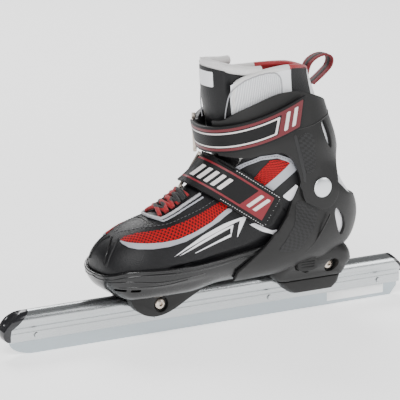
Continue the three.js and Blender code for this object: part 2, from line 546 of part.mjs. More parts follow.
// Below the rim the foot of the liner is slim enough for the toe shell to slide along it.
const belowRim = (over, beyond) => sideSlab([...RIM.map(([x, z]) => [x - SLIDE.travel, z + over]),
  [SHELL.toeEnd + beyond, RIM[RIM.length - 1][1] + over], [SHELL.toeEnd + beyond, 36], [-160, 36]], -WIDE, WIDE);
const slimFoot = linerOuter.intersect(linerOuter.translate([-SLIDE.travel / 2, 0, 0]))
  .intersect(linerOuter.translate([-SLIDE.travel, 0, 0])).intersect(belowRim(1, 2));
const ANKLE_LOW = [[200, 118.6], [-60, 145]];
const ANKLE_HIGH = [[200, 115], [-60, 171]];
const footRegion = sideSlab([[LINER.split + 0.6, 30], ANKLE_LOW[1], ANKLE_LOW[0], [200, 30]], -WIDE, WIDE).intersect(sheetBox(LINER.split + 0.6, 200, 20, 200));
const THROAT = { half: 15, edge: [[-70, 101], [-58, 105], [-25, 116.5], [2, 131], [30, 180], [-90, 180]] };
const linerFoot = slimFoot.add(linerOuter.subtract(belowRim(0.4, 1))).subtract(linerInner).intersect(footRegion)
  .subtract(sideSlab(THROAT.edge, -THROAT.half, THROAT.half));
add('root', 'liner_foot', linerFoot, BLACK_CLOTH);

const collarOutline = [[3, 155.5], [4, 165], [2, 180], [-1, 198], [-4.5, 213], [-1, 222], [12, 231], [34, 238],
  [64, 240.5], [84, 237], [99, 231.5], [160, 229], [160, ANKLE_HIGH[0][1] + 4]];
const COLLAR_GAP = 26;
const aboveAnkle = sideSlab([...ANKLE_HIGH, [-60, 300], [200, 300]], -WIDE, WIDE);
// The collar's rim is lower on the far side: a tilted plane trims it.
const FAR_DROP = { slope: 7.5, middle: 235.5 };
const farDrop = box([-100, -WIDE * 2, 0], [200, WIDE * 2, 80])
  .rotate([-FAR_DROP.slope, 0, 0]).translate([0, 0, FAR_DROP.middle]);
const linerCollar = linerOuter.subtract(linerInner).intersect(sideSlab(collarOutline, -WIDE, WIDE))
  .intersect(aboveAnkle).subtract(box([-60, -COLLAR_GAP, 100], [24, COLLAR_GAP, 300])).subtract(farDrop);
add('cuff', 'liner_collar', linerCollar, WHITE_CLOTH);

const insoleForm = formSolid(-LINER.wall - GAP, 0.3, LAST);
const insoleOutline = [[-60, 40], [-60, 57.5], [40, 58], [88, 64.5], [126, 69.5], [134, 73], [134, 40]];
const insole = insoleForm.subtract(insoleForm.translate([0, 0, INSOLE.thick]))
  .intersect(sideSlab(insoleOutline, -WIDE, WIDE));
add('root', 'insole', insole, BLACK_CLOTH);

const tongueLower = formSolid(-0.7, 4.6, 18).subtract(formSolid(-4.1, 4.4, 18.2))
  .intersect(sideSlab(THROAT.edge, -THROAT.half + 0.5, THROAT.half - 0.5))
  .intersect(sideSlab([[-61, 90], [-61, 145], [4, 145], [24, 128], [24, 90]], -WIDE, WIDE))
  .subtract(box([LINER.split - 20, -WIDE, 90], [LINER.split + 2, WIDE, 200]));
add('root', 'tongue_lower', tongueLower, BLACK_CLOTH);
const tongueUpper = formSolid(-0.8, 15, LAST).subtract(formSolid(-0.8 - TONGUE.thick, 14.5, LAST))
  .intersect(smoothSlab([[-20, 160], [-22, 200], [-20, 238], [-4, 244], [14, 244], [25, 238], [26, 222], [22, 196], [16, 160]],
    GAP - COLLAR_GAP, COLLAR_GAP - GAP)).subtract(box([24 - GAP, -WIDE, 100], [80, WIDE, 300]))
  .subtract(sideSlab([[-60, 100], [-60, 171], [60, 145], [60, 100]], -WIDE, WIDE));
add('cuff', 'tongue_upper', tongueUpper, BLACK_CLOTH);

// ---- rods, lace and pull loop -----------------------------------------------------------------
function rod(points, radius, sides = 8) {
  const list = points.map((p) => (p.isVector3 ? p : new THREE.Vector3(...p)));
  return list.slice(1).map((end, i) => {
    const start = list[i];
    const along = end.clone().sub(start);
    const bar = new THREE.CylinderGeometry(radius, radius, along.length() + 2 * radius, sides);
    bar.applyQuaternion(new THREE.Quaternion().setFromUnitVectors(new THREE.Vector3(0, 1, 0), along.normalize()));
    const middle = start.clone().add(end).multiplyScalar(0.5);
    bar.translate(middle.x, middle.y, middle.z);
    return toSolid(bar);
  }).reduce((whole, bar) => whole.add(bar));
}
const LACE = { radius: 1.7, over: 1.9, side: 0.27, rows: 5, first: 5.65, last: 7.5, steps: 54 };
const laceRoute = [];
for (let i = 0; i <= LACE.rows; i += 1) {
  const s = LACE.first + ((LACE.last - LACE.first) * i) / LACE.rows;
  const side = i % 2 ? 1 : -1;
  for (const share of [-1, 0, 1]) {
    laceRoute.push(grown(s + 0.07 * share, Math.PI - LACE.side * side * share, LACE.over));
  }
}
const laceRound = new THREE.Shape().absarc(0, 0, LACE.radius, 0, 2 * Math.PI);
const laceTube = new THREE.ExtrudeGeometry(laceRound, {
  steps: LACE.steps, curveSegments: 3, bevelEnabled: false,
  extrudePath: new THREE.CatmullRomCurve3(laceRoute, false, 'centripetal'),
});
add('root', 'lace', toSolid(laceTube), RED_CLOTH);

const LOOP = { half: 5, thick: 2 };
const loopOuter = [[98, 224], [103, 233], [111, 239], [121, 240.5], [128, 236], [127, 228], [118, 220], [106, 212]];
const loopMiddle = [113.5, 228];
const loopInner = loopOuter.map(([x, z]) => {
  const [dx, dz] = [x - loopMiddle[0], z - loopMiddle[1]];
  const shrink = 1 - LOOP.thick / Math.hypot(dx, dz);
  return [loopMiddle[0] + dx * shrink, loopMiddle[1] + dz * shrink];
});
const pullLoop = smoothSlab(loopOuter, -LOOP.half, LOOP.half, 32).subtract(smoothSlab(loopInner, -WIDE, WIDE, 32))
  .subtract(formSolid(GAP, 15, LAST));
add('cuff', 'pull_loop', pullLoop, RED_CLOTH);

// ---- straps -----------------------------------------------------------------------------------
// Each strap is folded back on itself through a ring on the far side: an inner base and an outer tail.
const layer = (low, high, s0, s1) => formSolid(high, s0, s1).subtract(formSolid(low, s0 - 1.2, s1 + 1.2));
const cuffLayer = CUFF.over + CUFF.wall + GAP;
const CUFF_STRAP = { farEnd: 20, slope: 0.27, foot: 161, baseEnd: 44, tip: [66, 74] };
const strapFoot = (x) => CUFF_STRAP.foot + CUFF_STRAP.slope * Math.max(x + 14, 0) + 0.0011 * Math.max(x, 0) ** 2 * 0.6;
const cuffBand = (x1, tipX, inset = 0) => {
  const low = [-60, -14, 10, 35, x1].map((x) => [x, strapFoot(x) + inset]);
  const high = [tipX, 35, 10, -14, -60].map((x) => [x, strapFoot(x) + STRAP.cuffWidth - inset]);
  return [...low, ...high];
};
const farBox = (y) => box([-80, -WIDE, 90], [100, y, 260]);
const cuffTail = layer(cuffLayer + STRAP.thick + GAP, cuffLayer + 2 * STRAP.thick + GAP, 13, 22)
  .intersect(sideSlab(cuffBand(CUFF_STRAP.tip[0], CUFF_STRAP.tip[1]), -WIDE, WIDE))
  .intersect(farBox(CUFF_STRAP.farEnd)).subtract(box([10, 0, 90], [200, WIDE, 300]));
add('cuff_strap', 'cuff_strap_tail', cuffTail, BLACK_CLOTH);
const cuffBase = layer(cuffLayer, cuffLayer + STRAP.thick, 13, 22)
  .intersect(sideSlab(cuffBand(CUFF_STRAP.baseEnd, CUFF_STRAP.baseEnd, 1), -WIDE, WIDE))
  .intersect(farBox(CUFF_STRAP.farEnd)).subtract(box([10, 0, 90], [200, WIDE, 300]));
add('cuff', 'cuff_strap_base', cuffBase, BLACK_CLOTH);

// A ring lying on the form: origin on the bar that the strap folds round, axes along the run of
// the strap (away from it), its width and the outward normal.
function ringFrame(origin, width) {
  const across = width.clone().normalize();
  const out = origin.normal.clone().addScaledVector(across, -origin.normal.dot(across)).normalize();
  const away = new THREE.Vector3().crossVectors(across, out).normalize();
  return { at: origin.point, across, out, away };
}
function frontSpot(y, z, s0, s1, offset) {
  let best = null;
  for (let i = 0; i <= 120; i += 1) {
    const s = s0 + ((s1 - s0) * i) / 120;
    for (let j = 0; j <= 90; j += 1) {
      const a = (Math.PI * j) / 90;
      const point = grown(s, a, offset);
      const gap = (point.y - y) ** 2 + (point.z - z) ** 2;
      if (point.x < 20 && (!best || gap < best.gap)) best = { gap, point, normal: formNormal(s, a) };
    }
  }
  return best;
}
function ring(frame, long, deep) {
  const corner = (w, d) => frame.at.clone().addScaledVector(frame.across, w).addScaledVector(frame.away, d);
  const half = long / 2 + RING.wire;
  const loop = [corner(-half, 0), corner(half, 0), corner(half, deep), corner(-half, deep), corner(-half, 0)];
  return rod(loop, RING.wire, 6);
}
const cuffRingSpot = frontSpot(CUFF_STRAP.farEnd + 2.9, 174, 15, 21, cuffLayer + STRAP.thick + 1.1);
const cuffRing = ringFrame(cuffRingSpot, new THREE.Vector3(-0.05, 0, 1));
if (cuffRing.away.y < 0) cuffRing.away.negate();
add('cuff', 'cuff_ring', ring(cuffRing, RING.inner, 9), NICKEL);
const keeperStart = CUFF_STRAP.farEnd + 8.4;
const cuffKeeper = layer(cuffLayer, cuffLayer + STRAP.thick, 13, 22)
  .intersect(sideSlab(cuffBand(CUFF_STRAP.baseEnd, CUFF_STRAP.baseEnd, 2), -WIDE, WIDE))
  .intersect(box([-80, keeperStart + 1, 90], [26, WIDE, 260]))
  .subtract(ring(cuffRing, RING.inner, 9));
add('cuff', 'cuff_ring_keeper', cuffKeeper, BLACK_CLOTH);

// The instep strap runs slantwise over the instep: a slab of the form between two slanted planes.
const INSTEP = { top: [-13, 6, 147], near: [44, -46, 107], farY: 10, low: 0.5 };
const instepRun = new THREE.Vector3(...INSTEP.near).sub(new THREE.Vector3(...INSTEP.top)).normalize();
const instepOut = new THREE.Vector3(-0.78, -0.28, 0.56);
const instepAcross = new THREE.Vector3().crossVectors(instepRun, instepOut).normalize();
if (instepAcross.z < 0) instepAcross.negate();
function instepSlab(width) {
  const geometry = new THREE.BoxGeometry(400, width, 400);
  const basis = new THREE.Matrix4().makeBasis(instepRun, instepAcross,
    new THREE.Vector3().crossVectors(instepRun, instepAcross));
  geometry.applyMatrix4(basis);
  const middle = new THREE.Vector3(...INSTEP.near);
  geometry.translate(middle.x, middle.y, middle.z);
  return toSolid(geometry);
}
function runLimit(from, to) {
  const geometry = new THREE.BoxGeometry(to - from, 300, 300);
  geometry.translate((from + to) / 2, 0, 0);
  geometry.applyMatrix4(new THREE.Matrix4().makeBasis(instepRun, instepAcross,
    new THREE.Vector3().crossVectors(instepRun, instepAcross)));
  const start = new THREE.Vector3(...INSTEP.top);
  geometry.translate(start.x, start.y, start.z);
  return toSolid(geometry);
}
const instepLow = LACE.radius + LACE.over + GAP;
const instepFloor = (s, a) => INSTEP.low + (instepLow - INSTEP.low) * smooth(Math.abs(a), 2.1, 2.6);
const instepLayer = (n) => layer((s, a) => instepFloor(s, a) + n * (STRAP.thick + GAP),
  (s, a) => instepFloor(s, a) + n * (STRAP.thick + GAP) + STRAP.thick, 4, 17);
const INSTEP_LENGTH = 84;
const nearSide = box([-120, -WIDE, 60], [100, INSTEP.farY, 200]);
const instepTail = instepLayer(1).intersect(instepSlab(STRAP.instepWidth)).intersect(nearSide)
  .intersect(runLimit(-30, INSTEP_LENGTH));
add('instep_strap', 'instep_strap_tail', instepTail, BLACK_CLOTH);
const instepBase = instepLayer(0).intersect(instepSlab(STRAP.instepWidth - 3)).intersect(nearSide)
  .intersect(runLimit(-30, INSTEP_LENGTH + 4));
add('root', 'instep_strap_base', instepBase, BLACK_CLOTH);
const instepRingSpot = frontSpot(INSTEP.farY + 2.6, 144, 7, 16, instepLow + STRAP.thick + 0.6);
const instepRing = ringFrame(instepRingSpot, instepAcross);
if (instepRing.away.y < 0) instepRing.away.negate();
add('root', 'instep_ring', ring(instepRing, STRAP.instepWidth - 3, 9), NICKEL);
const instepKeeper = instepLayer(0).intersect(instepSlab(STRAP.instepWidth - 8))
  .intersect(box([-120, INSTEP.farY + 10, 60], [60, 38, 200])).subtract(ring(instepRing, STRAP.instepWidth - 3, 9));
add('root', 'instep_ring_keeper', instepKeeper, BLACK_CLOTH);

// ---- cuff pivots ------------------------------------------------------------------------------
const outerFace = (solid, x, z, radius) =>
  solid.intersect(crossBar(x, z, radius, -WIDE, 0)).boundingBox().min[1];
const coverSeat = outerFace(cuffSolid, PIVOT.x, PIVOT.z, PIVOT.cover) - GAP;
const pinEnd = -40.5;
for (const [name, side] of [['near', 1], ['far', -1]]) {
  const cover = crossBar(PIVOT.x, PIVOT.z, PIVOT.cover, coverSeat - PIVOT.coverThick, coverSeat, 32)
    .add(crossBar(PIVOT.x, PIVOT.z, PIVOT.pin, coverSeat - 0.5, pinEnd, 24)).subtract(linerHollow);
  const placed = side > 0 ? cover : cover.mirror([0, 1, 0]);
  add('cuff', `cuff_pivot_${name}`, placed, SILVER);
}

export default skate;
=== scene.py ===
import math

import bmesh
import bpy
import numpy as np
from mathutils import Matrix, Vector


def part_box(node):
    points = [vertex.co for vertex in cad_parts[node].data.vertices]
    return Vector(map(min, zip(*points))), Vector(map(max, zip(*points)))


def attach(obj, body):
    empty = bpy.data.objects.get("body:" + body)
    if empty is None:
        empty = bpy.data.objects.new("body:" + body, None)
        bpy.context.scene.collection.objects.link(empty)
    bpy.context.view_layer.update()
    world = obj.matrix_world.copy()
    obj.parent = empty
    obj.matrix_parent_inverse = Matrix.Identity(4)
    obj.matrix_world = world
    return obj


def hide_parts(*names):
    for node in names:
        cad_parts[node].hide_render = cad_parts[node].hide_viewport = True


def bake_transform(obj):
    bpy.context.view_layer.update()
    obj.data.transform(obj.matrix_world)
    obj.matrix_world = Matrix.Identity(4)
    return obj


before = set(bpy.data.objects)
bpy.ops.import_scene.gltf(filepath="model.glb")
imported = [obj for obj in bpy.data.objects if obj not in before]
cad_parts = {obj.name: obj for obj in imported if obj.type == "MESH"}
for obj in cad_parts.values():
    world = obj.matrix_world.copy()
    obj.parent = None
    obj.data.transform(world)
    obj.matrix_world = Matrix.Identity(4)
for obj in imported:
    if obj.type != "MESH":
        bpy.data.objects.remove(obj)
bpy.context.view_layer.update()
MM = 0.001

# ---- Camera and studio ---------------------------------------------------------------------
# The skate stands on a pale floor in a soft, even light, seen from its outer side a little
# towards the toe.


def placed(name, data):
    """Puts new data into the scene as an object."""
    made = bpy.data.objects.new(name, data)
    bpy.context.scene.collection.objects.link(made)
    return made


camera = placed("camera", bpy.data.cameras.new("camera"))
camera.location = (-1.2059, -2.0722, 0.7142)
look = Vector((-0.0095, 0, 0.1176)) - camera.location
camera.rotation_euler = look.to_track_quat("-Z", "Y").to_euler()
camera.data.lens = 246
camera.data.clip_end = 50
bpy.context.scene.camera = camera


def soft_light(name, place, size, power, aim=(0, 0, 0.1)):
    lamp = bpy.data.lights.new(name, "AREA")
    lamp.shape = "DISK"
    lamp.size = size
    lamp.energy = power
    panel = placed(name, lamp)
    panel.location = place
    panel.rotation_euler = (Vector(aim) - Vector(place)).to_track_quat("-Z", "Y").to_euler()


soft_light("key", (-1.2, -1.5, 2.0), 1.1, 58)
soft_light("fill", (1.6, -1.6, 1.1), 1.2, 20)
soft_light("back", (0.4, 1.8, 1.8), 1.4, 46)
soft_light("low_front", (-0.5, -2.4, 0.35), 0.9, 7)

world = bpy.data.worlds.new("studio")
bpy.context.scene.world = world
world.use_nodes = True
world.node_tree.nodes["Background"].inputs["Color"].default_value = (1, 1, 1, 1)
world.node_tree.nodes["Background"].inputs["Strength"].default_value = 0.24


def put(tree, kind, x=0, y=0, **settings):
    """Adds a node; a setting is an attribute, or an input when it starts with in_."""
    made = tree.nodes.new(kind)
    made.location = (x, y)
    for key, value in settings.items():
        if key.startswith("in_"):
            socket = made.inputs[int(key[3:])] if key[3:].isdigit() else made.inputs[key[3:].replace("_",
                " ")]
            socket.default_value = value
        else:
            setattr(made, key, value)
    return made


def wire(tree, *ends):
    """Joins nodes; every four ends are a node, its output, the next node and its input."""
    for source, output, target, socket in zip(*[iter(ends)] * 4):
        tree.links.new(source.outputs[output], target.inputs[socket])


def effect_group(name, inputs, outputs):
    """A node group with named sockets and nothing wired: inputs (name, kind, default) and
    outputs (name, kind)."""
    group = bpy.data.node_groups.new(name, "ShaderNodeTree")
    for label, kind, default in inputs:
        socket = group.interface.new_socket(label, in_out="INPUT", socket_type="NodeSocket" + kind)
        if default is not None:
            socket.default_value = default
    for label, kind in outputs:
        group.interface.new_socket(label, in_out="OUTPUT", socket_type="NodeSocket" + kind)
    return group, put(group, "NodeGroupInput", -900), put(group, "NodeGroupOutput", 700)


# Moulded grain: a fine pebbled skin with slow changes of colour and polish.
grain_group, g_in, g_out = effect_group(
    "moulded_grain",
    [("Scale", "Float", 900.0), ("Dark", "Color", None), ("Light", "Color", None),
     ("Polished", "Float", 0.4), ("Dull", "Float", 0.6)],
    [("Color", "Color"), ("Roughness", "Float"), ("Height", "Float")])
chart = put(grain_group, "ShaderNodeTexCoord", -900, 300)
fine = put(grain_group, "ShaderNodeTexNoise", -500, 200, in_Detail=3.0, in_Roughness=0.6)
slow = put(grain_group, "ShaderNodeTexNoise", -500, -100, in_Scale=28.0, in_Detail=4.0, in_Roughness=0.55)
tint = put(grain_group, "ShaderNodeMix", 100, 200, data_type="RGBA")
shine = put(grain_group, "ShaderNodeMapRange", 100, -200, in_From_Min=0.3, in_From_Max=0.7)
wire(grain_group, chart, "Object", fine, "Vector",
     chart, "Object", slow, "Vector",
     g_in, "Scale", fine, "Scale",
     slow, "Fac", tint, "Factor",
     g_in, "Dark", tint, "A",
     g_in, "Light", tint, "B",
     slow, "Fac", shine, "Value",
     g_in, "Polished", shine, "To Min",
     g_in, "Dull", shine, "To Max",
     tint, "Result", g_out, "Color",
     shine, "Result", g_out, "Roughness",
     fine, "Fac", g_out, "Height")


def rgb(color, factor=1.0):
    return (color[0] * factor, color[1] * factor, color[2] * factor, 1.0)


def material(name, metallic=0.0, coat=0.0, sheen=0.0, specular=0.5):
    made = bpy.data.materials.new(name)
    made.use_nodes = True
    shader = made.node_tree.nodes["Principled BSDF"]
    shader.inputs["Metallic"].default_value = metallic
    shader.inputs["Coat Weight"].default_value = coat
    shader.inputs["Sheen Weight"].default_value = sheen
    shader.inputs["Specular IOR Level"].default_value = specular
    return made, made.node_tree, shader


def raised(tree, shader, height, distance, strength=1.0):
    bump = put(tree, "ShaderNodeBump", -200, -300, in_Strength=strength, in_Distance=distance)
    tree.links.new(height, bump.inputs["Height"])
    wire(tree, bump, "Normal", shader, "Normal")
    return bump


def moulded(name, color, polished, dull, scale=900.0, depth=0.00012, vary=0.2, **kind):
    """A moulded, cast or coated surface on the grain group."""
    made, tree, shader = material(name, **kind)
    grain = put(tree, "ShaderNodeGroup", -500, node_tree=grain_group, in_Scale=scale,
                in_Dark=rgb(color, 1 - vary), in_Light=rgb(color, 1 + vary), in_Polished=polished,
                in_Dull=dull)
    wire(tree, grain, "Color", shader, "Base Color",
         grain, "Roughness", shader, "Roughness")
    raised(tree, shader, grain.outputs["Height"], depth, 0.7)
    return made


bpy.ops.object.select_all(action="DESELECT")
bpy.ops.mesh.primitive_grid_add(x_subdivisions=8, y_subdivisions=8, size=14, location=(0, 0, 0))
floor = bpy.context.object
floor.name = "studio_floor"
floor_white = moulded("pale_floor", (0.88, 0.88, 0.88), 0.75, 0.9, 60.0, 0.0002, 0.015, specular=0.2)
floor_white.node_tree.nodes["Principled BSDF"].inputs["Emission Color"].default_value = (1, 1, 1, 1)
floor_white.node_tree.nodes["Principled BSDF"].inputs["Emission Strength"].default_value = 1.1
floor.data.materials.append(floor_white)

# ---- Toe shell -----------------------------------------------------------------------------
# The front half of the hard boot, injection moulded in semi-gloss black plastic. It wraps the
# toe and the sides of the sole, slides on the base plate to change the size, and has a double
# bead round its rim and two vent slots in its outer side.

# The boot's form: sections that fan from the toe over the instep and up the shaft. Back or sole
# point (x, z), front or top point (x, z), half width, level of the widest point, fullness below
# and above it, in millimetres.
FORM_STATIONS = np.array([
    [-116.5, 70, -116.5, 70.4, 0.2, 0.5, 2, 2], [-115, 60.5, -115, 80, 15, 0.48, 2.2, 2],
    [-110, 53, -110, 88, 25.5, 0.42, 2.4, 2], [-100, 49.4, -100, 96, 34, 0.38, 2.8, 2],
    [-85, 49, -85, 104, 40.3, 0.36, 3, 1.9], [-66, 49, -68, 110, 43, 0.35, 3, 1.8],
    [-44, 49, -50, 117, 43, 0.34, 3, 1.7], [-20, 49, -36, 125, 41, 0.34, 3, 1.7],
    [5, 49, -26, 131.5, 39, 0.35, 3, 1.7], [30, 49.2, -18, 137, 38, 0.36, 3, 1.7],
    [58, 51, -11, 142, 38.5, 0.38, 3, 1.8], [86, 56, -6, 146.5, 39.5, 0.4, 2.9, 1.9],
    [112, 59.5, -2, 150, 40.5, 0.42, 2.7, 2], [137, 66, 1.5, 153, 41.5, 0.44, 2.4, 2],
    [147.5, 84, 4, 156, 42, 0.45, 2.2, 2.1], [146, 103, 5, 160, 42, 0.46, 2.2, 2.1],
    [134.5, 122, 5, 165, 41.5, 0.47, 2.2, 2.2], [123.5, 142, 3.5, 172, 41, 0.48, 2.2, 2.2],
    [119.5, 165, 1, 182, 40, 0.5, 2.2, 2.2], [112, 187, -2, 194, 38, 0.5, 2.2, 2.2],
    [105, 208, -5, 208, 36, 0.5, 2.2, 2.2], [98, 228, -7, 224, 34.5, 0.5, 2.2, 2.2],
    [94, 252, -8, 246, 34, 0.5, 2.2, 2.2]])
TOP_STATION = len(FORM_STATIONS) - 1
STATION_SPAN, RADIAN_SPAN = 19, 44  # about how many millimetres a section and a radian cover
ALL_ROUND = (-math.pi, math.pi)
SIDES = ((-1, "outer"), (1, "inner"))
HALVES = (((-math.pi, 0), "outer"), ((0, math.pi), "inner"))
UNCUT = 99  # a level so high that it never trims


def form_section(s):
    s = np.clip(s, 0, TOP_STATION)
    i = np.minimum(np.floor(s).astype(int), TOP_STATION - 1)
    t = (s - i)[..., None]
    p0, p1, p2, p3 = [FORM_STATIONS[np.clip(i + k, 0, TOP_STATION)] for k in (-1, 0, 1, 2)]
    return 0.5 * (2 * p1 + (p2 - p0) * t + (2 * p0 - 5 * p1 + 4 * p2 - p3) * t * t
                  + (3 * p1 - p0 - 3 * p2 + p3) * t ** 3)


def form_point(s, a):
    """The form at section s and angle a: 0 at the sole or back, pi at the top or front."""
    row = form_section(s)
    c = np.cos(a)
    middle = row[..., 5]
    fullness = np.where(c > 0, row[..., 6], row[..., 7])
    reach = np.abs(c) ** (2 / fullness)
    along = np.where(c > 0, middle - middle * reach, middle + (1 - middle) * reach)
    y = row[..., 4] * np.sign(np.sin(a)) * np.abs(np.sin(a)) ** (2 / fullness)
    return np.stack([row[..., 0] + (row[..., 2] - row[..., 0]) * along, y,
                     row[..., 1] + (row[..., 3] - row[..., 1]) * along], -1)


def form_normal(s, a):
    s = np.maximum(s, 0.25)
    h = 0.04
    across = np.cross(form_point(s + h, a) - form_point(s - h, a),
                      form_point(s, a + h) - form_point(s, a - h))
    across /= np.linalg.norm(across, axis=-1, keepdims=True) + 1e-12
    row = form_section(s)
    middle = row[..., 5]
    centre = np.stack([row[..., 0] + (row[..., 2] - row[..., 0]) * middle, 0 * middle,
                       row[..., 1] + (row[..., 3] - row[..., 1]) * middle], -1)
    facing = np.sum((form_point(s, a) - centre) * across, axis=-1, keepdims=True)
    return across * np.where(facing < 0, -1, 1)


def form_grown(s, a, offset):
    """The form's surface moved out by offset millimetres, a number or a function of (s, a)."""
    grow = offset(s, a) if callable(offset) else offset + 0 * s
    return form_point(s, a) + form_normal(s, a) * grow[..., None]


def ease(x, low, high):
    t = np.clip((x - low) / (high - low), 0, 1)
    return t * t * (3 - 2 * t)


def rounded(points, closed=True, steps=8):
    """A smooth line through points."""
    p = np.array(points, float)
    n = len(p)
    made = []
    for i in range(n if closed else n - 1):
        pick = [p[(i + k) % n] if closed else p[min(max(i + k, 0), n - 1)] for k in (-1, 0, 1, 2)]
        for t in np.arange(steps) / steps:
            made.append(0.5 * (2 * pick[1] + (pick[2] - pick[0]) * t
                               + (2 * pick[0] - 5 * pick[1] + 4 * pick[2] - pick[3]) * t * t
                               + (3 * pick[1] - pick[0] - 3 * pick[2] + pick[3]) * t ** 3))
    if not closed:
        made.append(p[-1])
    return np.array(made)


def within(outline, x, z):
    """Distance of (x, z) inside a closed side-view outline; negative outside."""
    corners = np.array(outline, float)
    gap = np.full(x.shape, 1e9)
    odd = np.zeros(x.shape, bool)
    for (x0, z0), (x1, z1) in zip(corners, np.roll(corners, -1, 0)):
        dx, dz = x1 - x0, z1 - z0
        t = np.clip(((x - x0) * dx + (z - z0) * dz) / (dx * dx + dz * dz + 1e-12), 0, 1)
        gap = np.minimum(gap, np.hypot(x - x0 - t * dx, z - z0 - t * dz))
        crossing = (z0 > z) != (z1 > z)
        at = x0 + (z - z0) * dx / np.where(abs(dz) < 1e-12, 1e-12, dz)
        odd ^= crossing & (x < at)
    return np.where(odd, gap, -gap)


def trimmed_sheet(name, keep, offset, s_span, a_span, cell=1.6):
    """A sheet of the grown form, cut clean along keep(points, s, a) = 0, positive where it stays."""
    rows = int((s_span[1] - s_span[0]) * STATION_SPAN / cell) + 3
    columns = int((a_span[1] - a_span[0]) * RADIAN_SPAN / cell) + 3
    s, a = np.meshgrid(np.linspace(*s_span, rows), np.linspace(*a_span, columns), indexing="ij")
    level = keep(form_grown(s, a, offset), s, a)
    best = np.full(level.shape, 0.3)
    move_s, move_a = s.copy(), a.copy()
    for axis, step in ((0, 1), (0, -1), (1, 1), (1, -1)):
        other = np.roll(level, -step, axis)
        share = np.where((level > 0) != (other > 0), level / (level - other + 1e-30), 9)
        edge = [slice(None), slice(None)]
        edge[axis] = -1 if step == 1 else 0
        share[tuple(edge)] = 9
        nearer = share < best
        best = np.where(nearer, share, best)
        move_s = np.where(nearer, s + (np.roll(s, -step, axis) - s) * share, move_s)
        move_a = np.where(nearer, a + (np.roll(a, -step, axis) - a) * share, move_a)
    level = np.where(best < 0.3, 1e-9, level)
    s, a = move_s, move_a
    inside = level > 0
    number = np.full(level.shape, -1)
    number[inside] = np.arange(inside.sum())
    at_s, at_a = list(s[inside]), list(a[inside])
    count = inside[:-1, :-1].astype(int) + inside[1:, :-1] + inside[1:, 1:] + inside[:-1, 1:]
    faces = [[number[i, j], number[i, j + 1], number[i + 1, j + 1], number[i + 1, j]]
             for i, j in np.argwhere(count == 4)]
    cuts = {}
    for i, j in np.argwhere((count > 0) & (count < 4)):
        corners = [(i, j), (i, j + 1), (i + 1, j + 1), (i + 1, j)]
        face = []
        for c, d in zip(corners, corners[1:] + corners[:1]):
            if inside[c]:
                face.append(number[c])
            if inside[c] != inside[d]:
                p, q = (c, d) if inside[c] else (d, c)
                if level[p] <= 1e-8:
                    face.append(number[p])
                    continue
                if (p, q) not in cuts:
                    t = level[p] / (level[p] - level[q])
                    cuts[p, q] = len(at_s)
                    at_s.append(s[p] + (s[q] - s[p]) * t)
                    at_a.append(a[p] + (a[q] - a[p]) * t)
                face.append(cuts[p, q])
        face = [v for k, v in enumerate(face) if v != face[k - 1]]
        if len(set(face)) > 2 and len(set(face)) == len(face):
            faces.append(face)
    at_s, at_a = np.array(at_s), np.array(at_a)
    points = form_grown(at_s, at_a, offset)
    mesh = bpy.data.meshes.new(name)
    mesh.from_pydata((points * MM).tolist(), [], [[int(v) for v in face] for face in faces])
    facing = np.array([p.normal for p in mesh.polygons])
    first = np.array([p.vertices[0] for p in mesh.polygons])
    if np.sum(facing * form_normal(at_s[first], at_a[first])) < 0:
        mesh.flip_normals()
    chart = mesh.uv_layers.new(name="cloth")
    corner = np.array([loop.vertex_index for loop in mesh.loops])
    chart.data.foreach_set("uv", np.stack([at_s[corner] * STATION_SPAN, at_a[corner] * RADIAN_SPAN],
                                          -1).ravel())
    work = bmesh.new()
    work.from_mesh(mesh)
    bmesh.ops.remove_doubles(work, verts=work.verts, dist=2e-5)
    bmesh.ops.delete(work, geom=[v for v in work.verts if not v.link_faces], context="VERTS")
    work.to_mesh(mesh)
    work.free()
    return placed(name, mesh)


def pick_up(piece):
    bpy.ops.object.select_all(action="DESELECT")
    piece.select_set(True)
    bpy.context.view_layer.objects.active = piece


def add_modifier(piece, kind, **settings):
    """Adds one modifier to the piece and applies it."""
    pick_up(piece)
    bpy.ops.object.modifier_add(type=kind)
    modifier = piece.modifiers[-1]
    for key, value in settings.items():
        setattr(modifier, key, value)
    bpy.ops.object.modifier_apply(modifier=modifier.name)


def smooth_over(piece, degrees=40):
    pick_up(piece)
    bpy.ops.object.shade_smooth_by_angle(angle=math.radians(degrees))


def soften(piece, width, segments, degrees):
    """Rounds the edges that are sharper than an angle."""
    add_modifier(piece, "BEVEL", width=width * MM, segments=segments, limit_method="ANGLE",
                 angle_limit=math.radians(degrees))


def give_wall(piece, wall, edge=0.4, segments=2, degrees=40):
    """Turns a sheet into a wall that goes inwards, with softened rims."""
    add_modifier(piece, "SOLIDIFY", thickness=wall * MM, offset=-1, use_quality_normals=True)
    if edge:
        soften(piece, edge, segments, 50)
    smooth_over(piece, degrees)
    return piece


def fit(piece, finish, body=None, slot=None, replaces=()):
    """Gives a piece its material and its place among the bodies."""
    piece.data.materials.clear()
    piece.data.materials.append(finish)
    if body:
        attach(piece, body)
    if replaces:
        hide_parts(*replaces)
    return piece


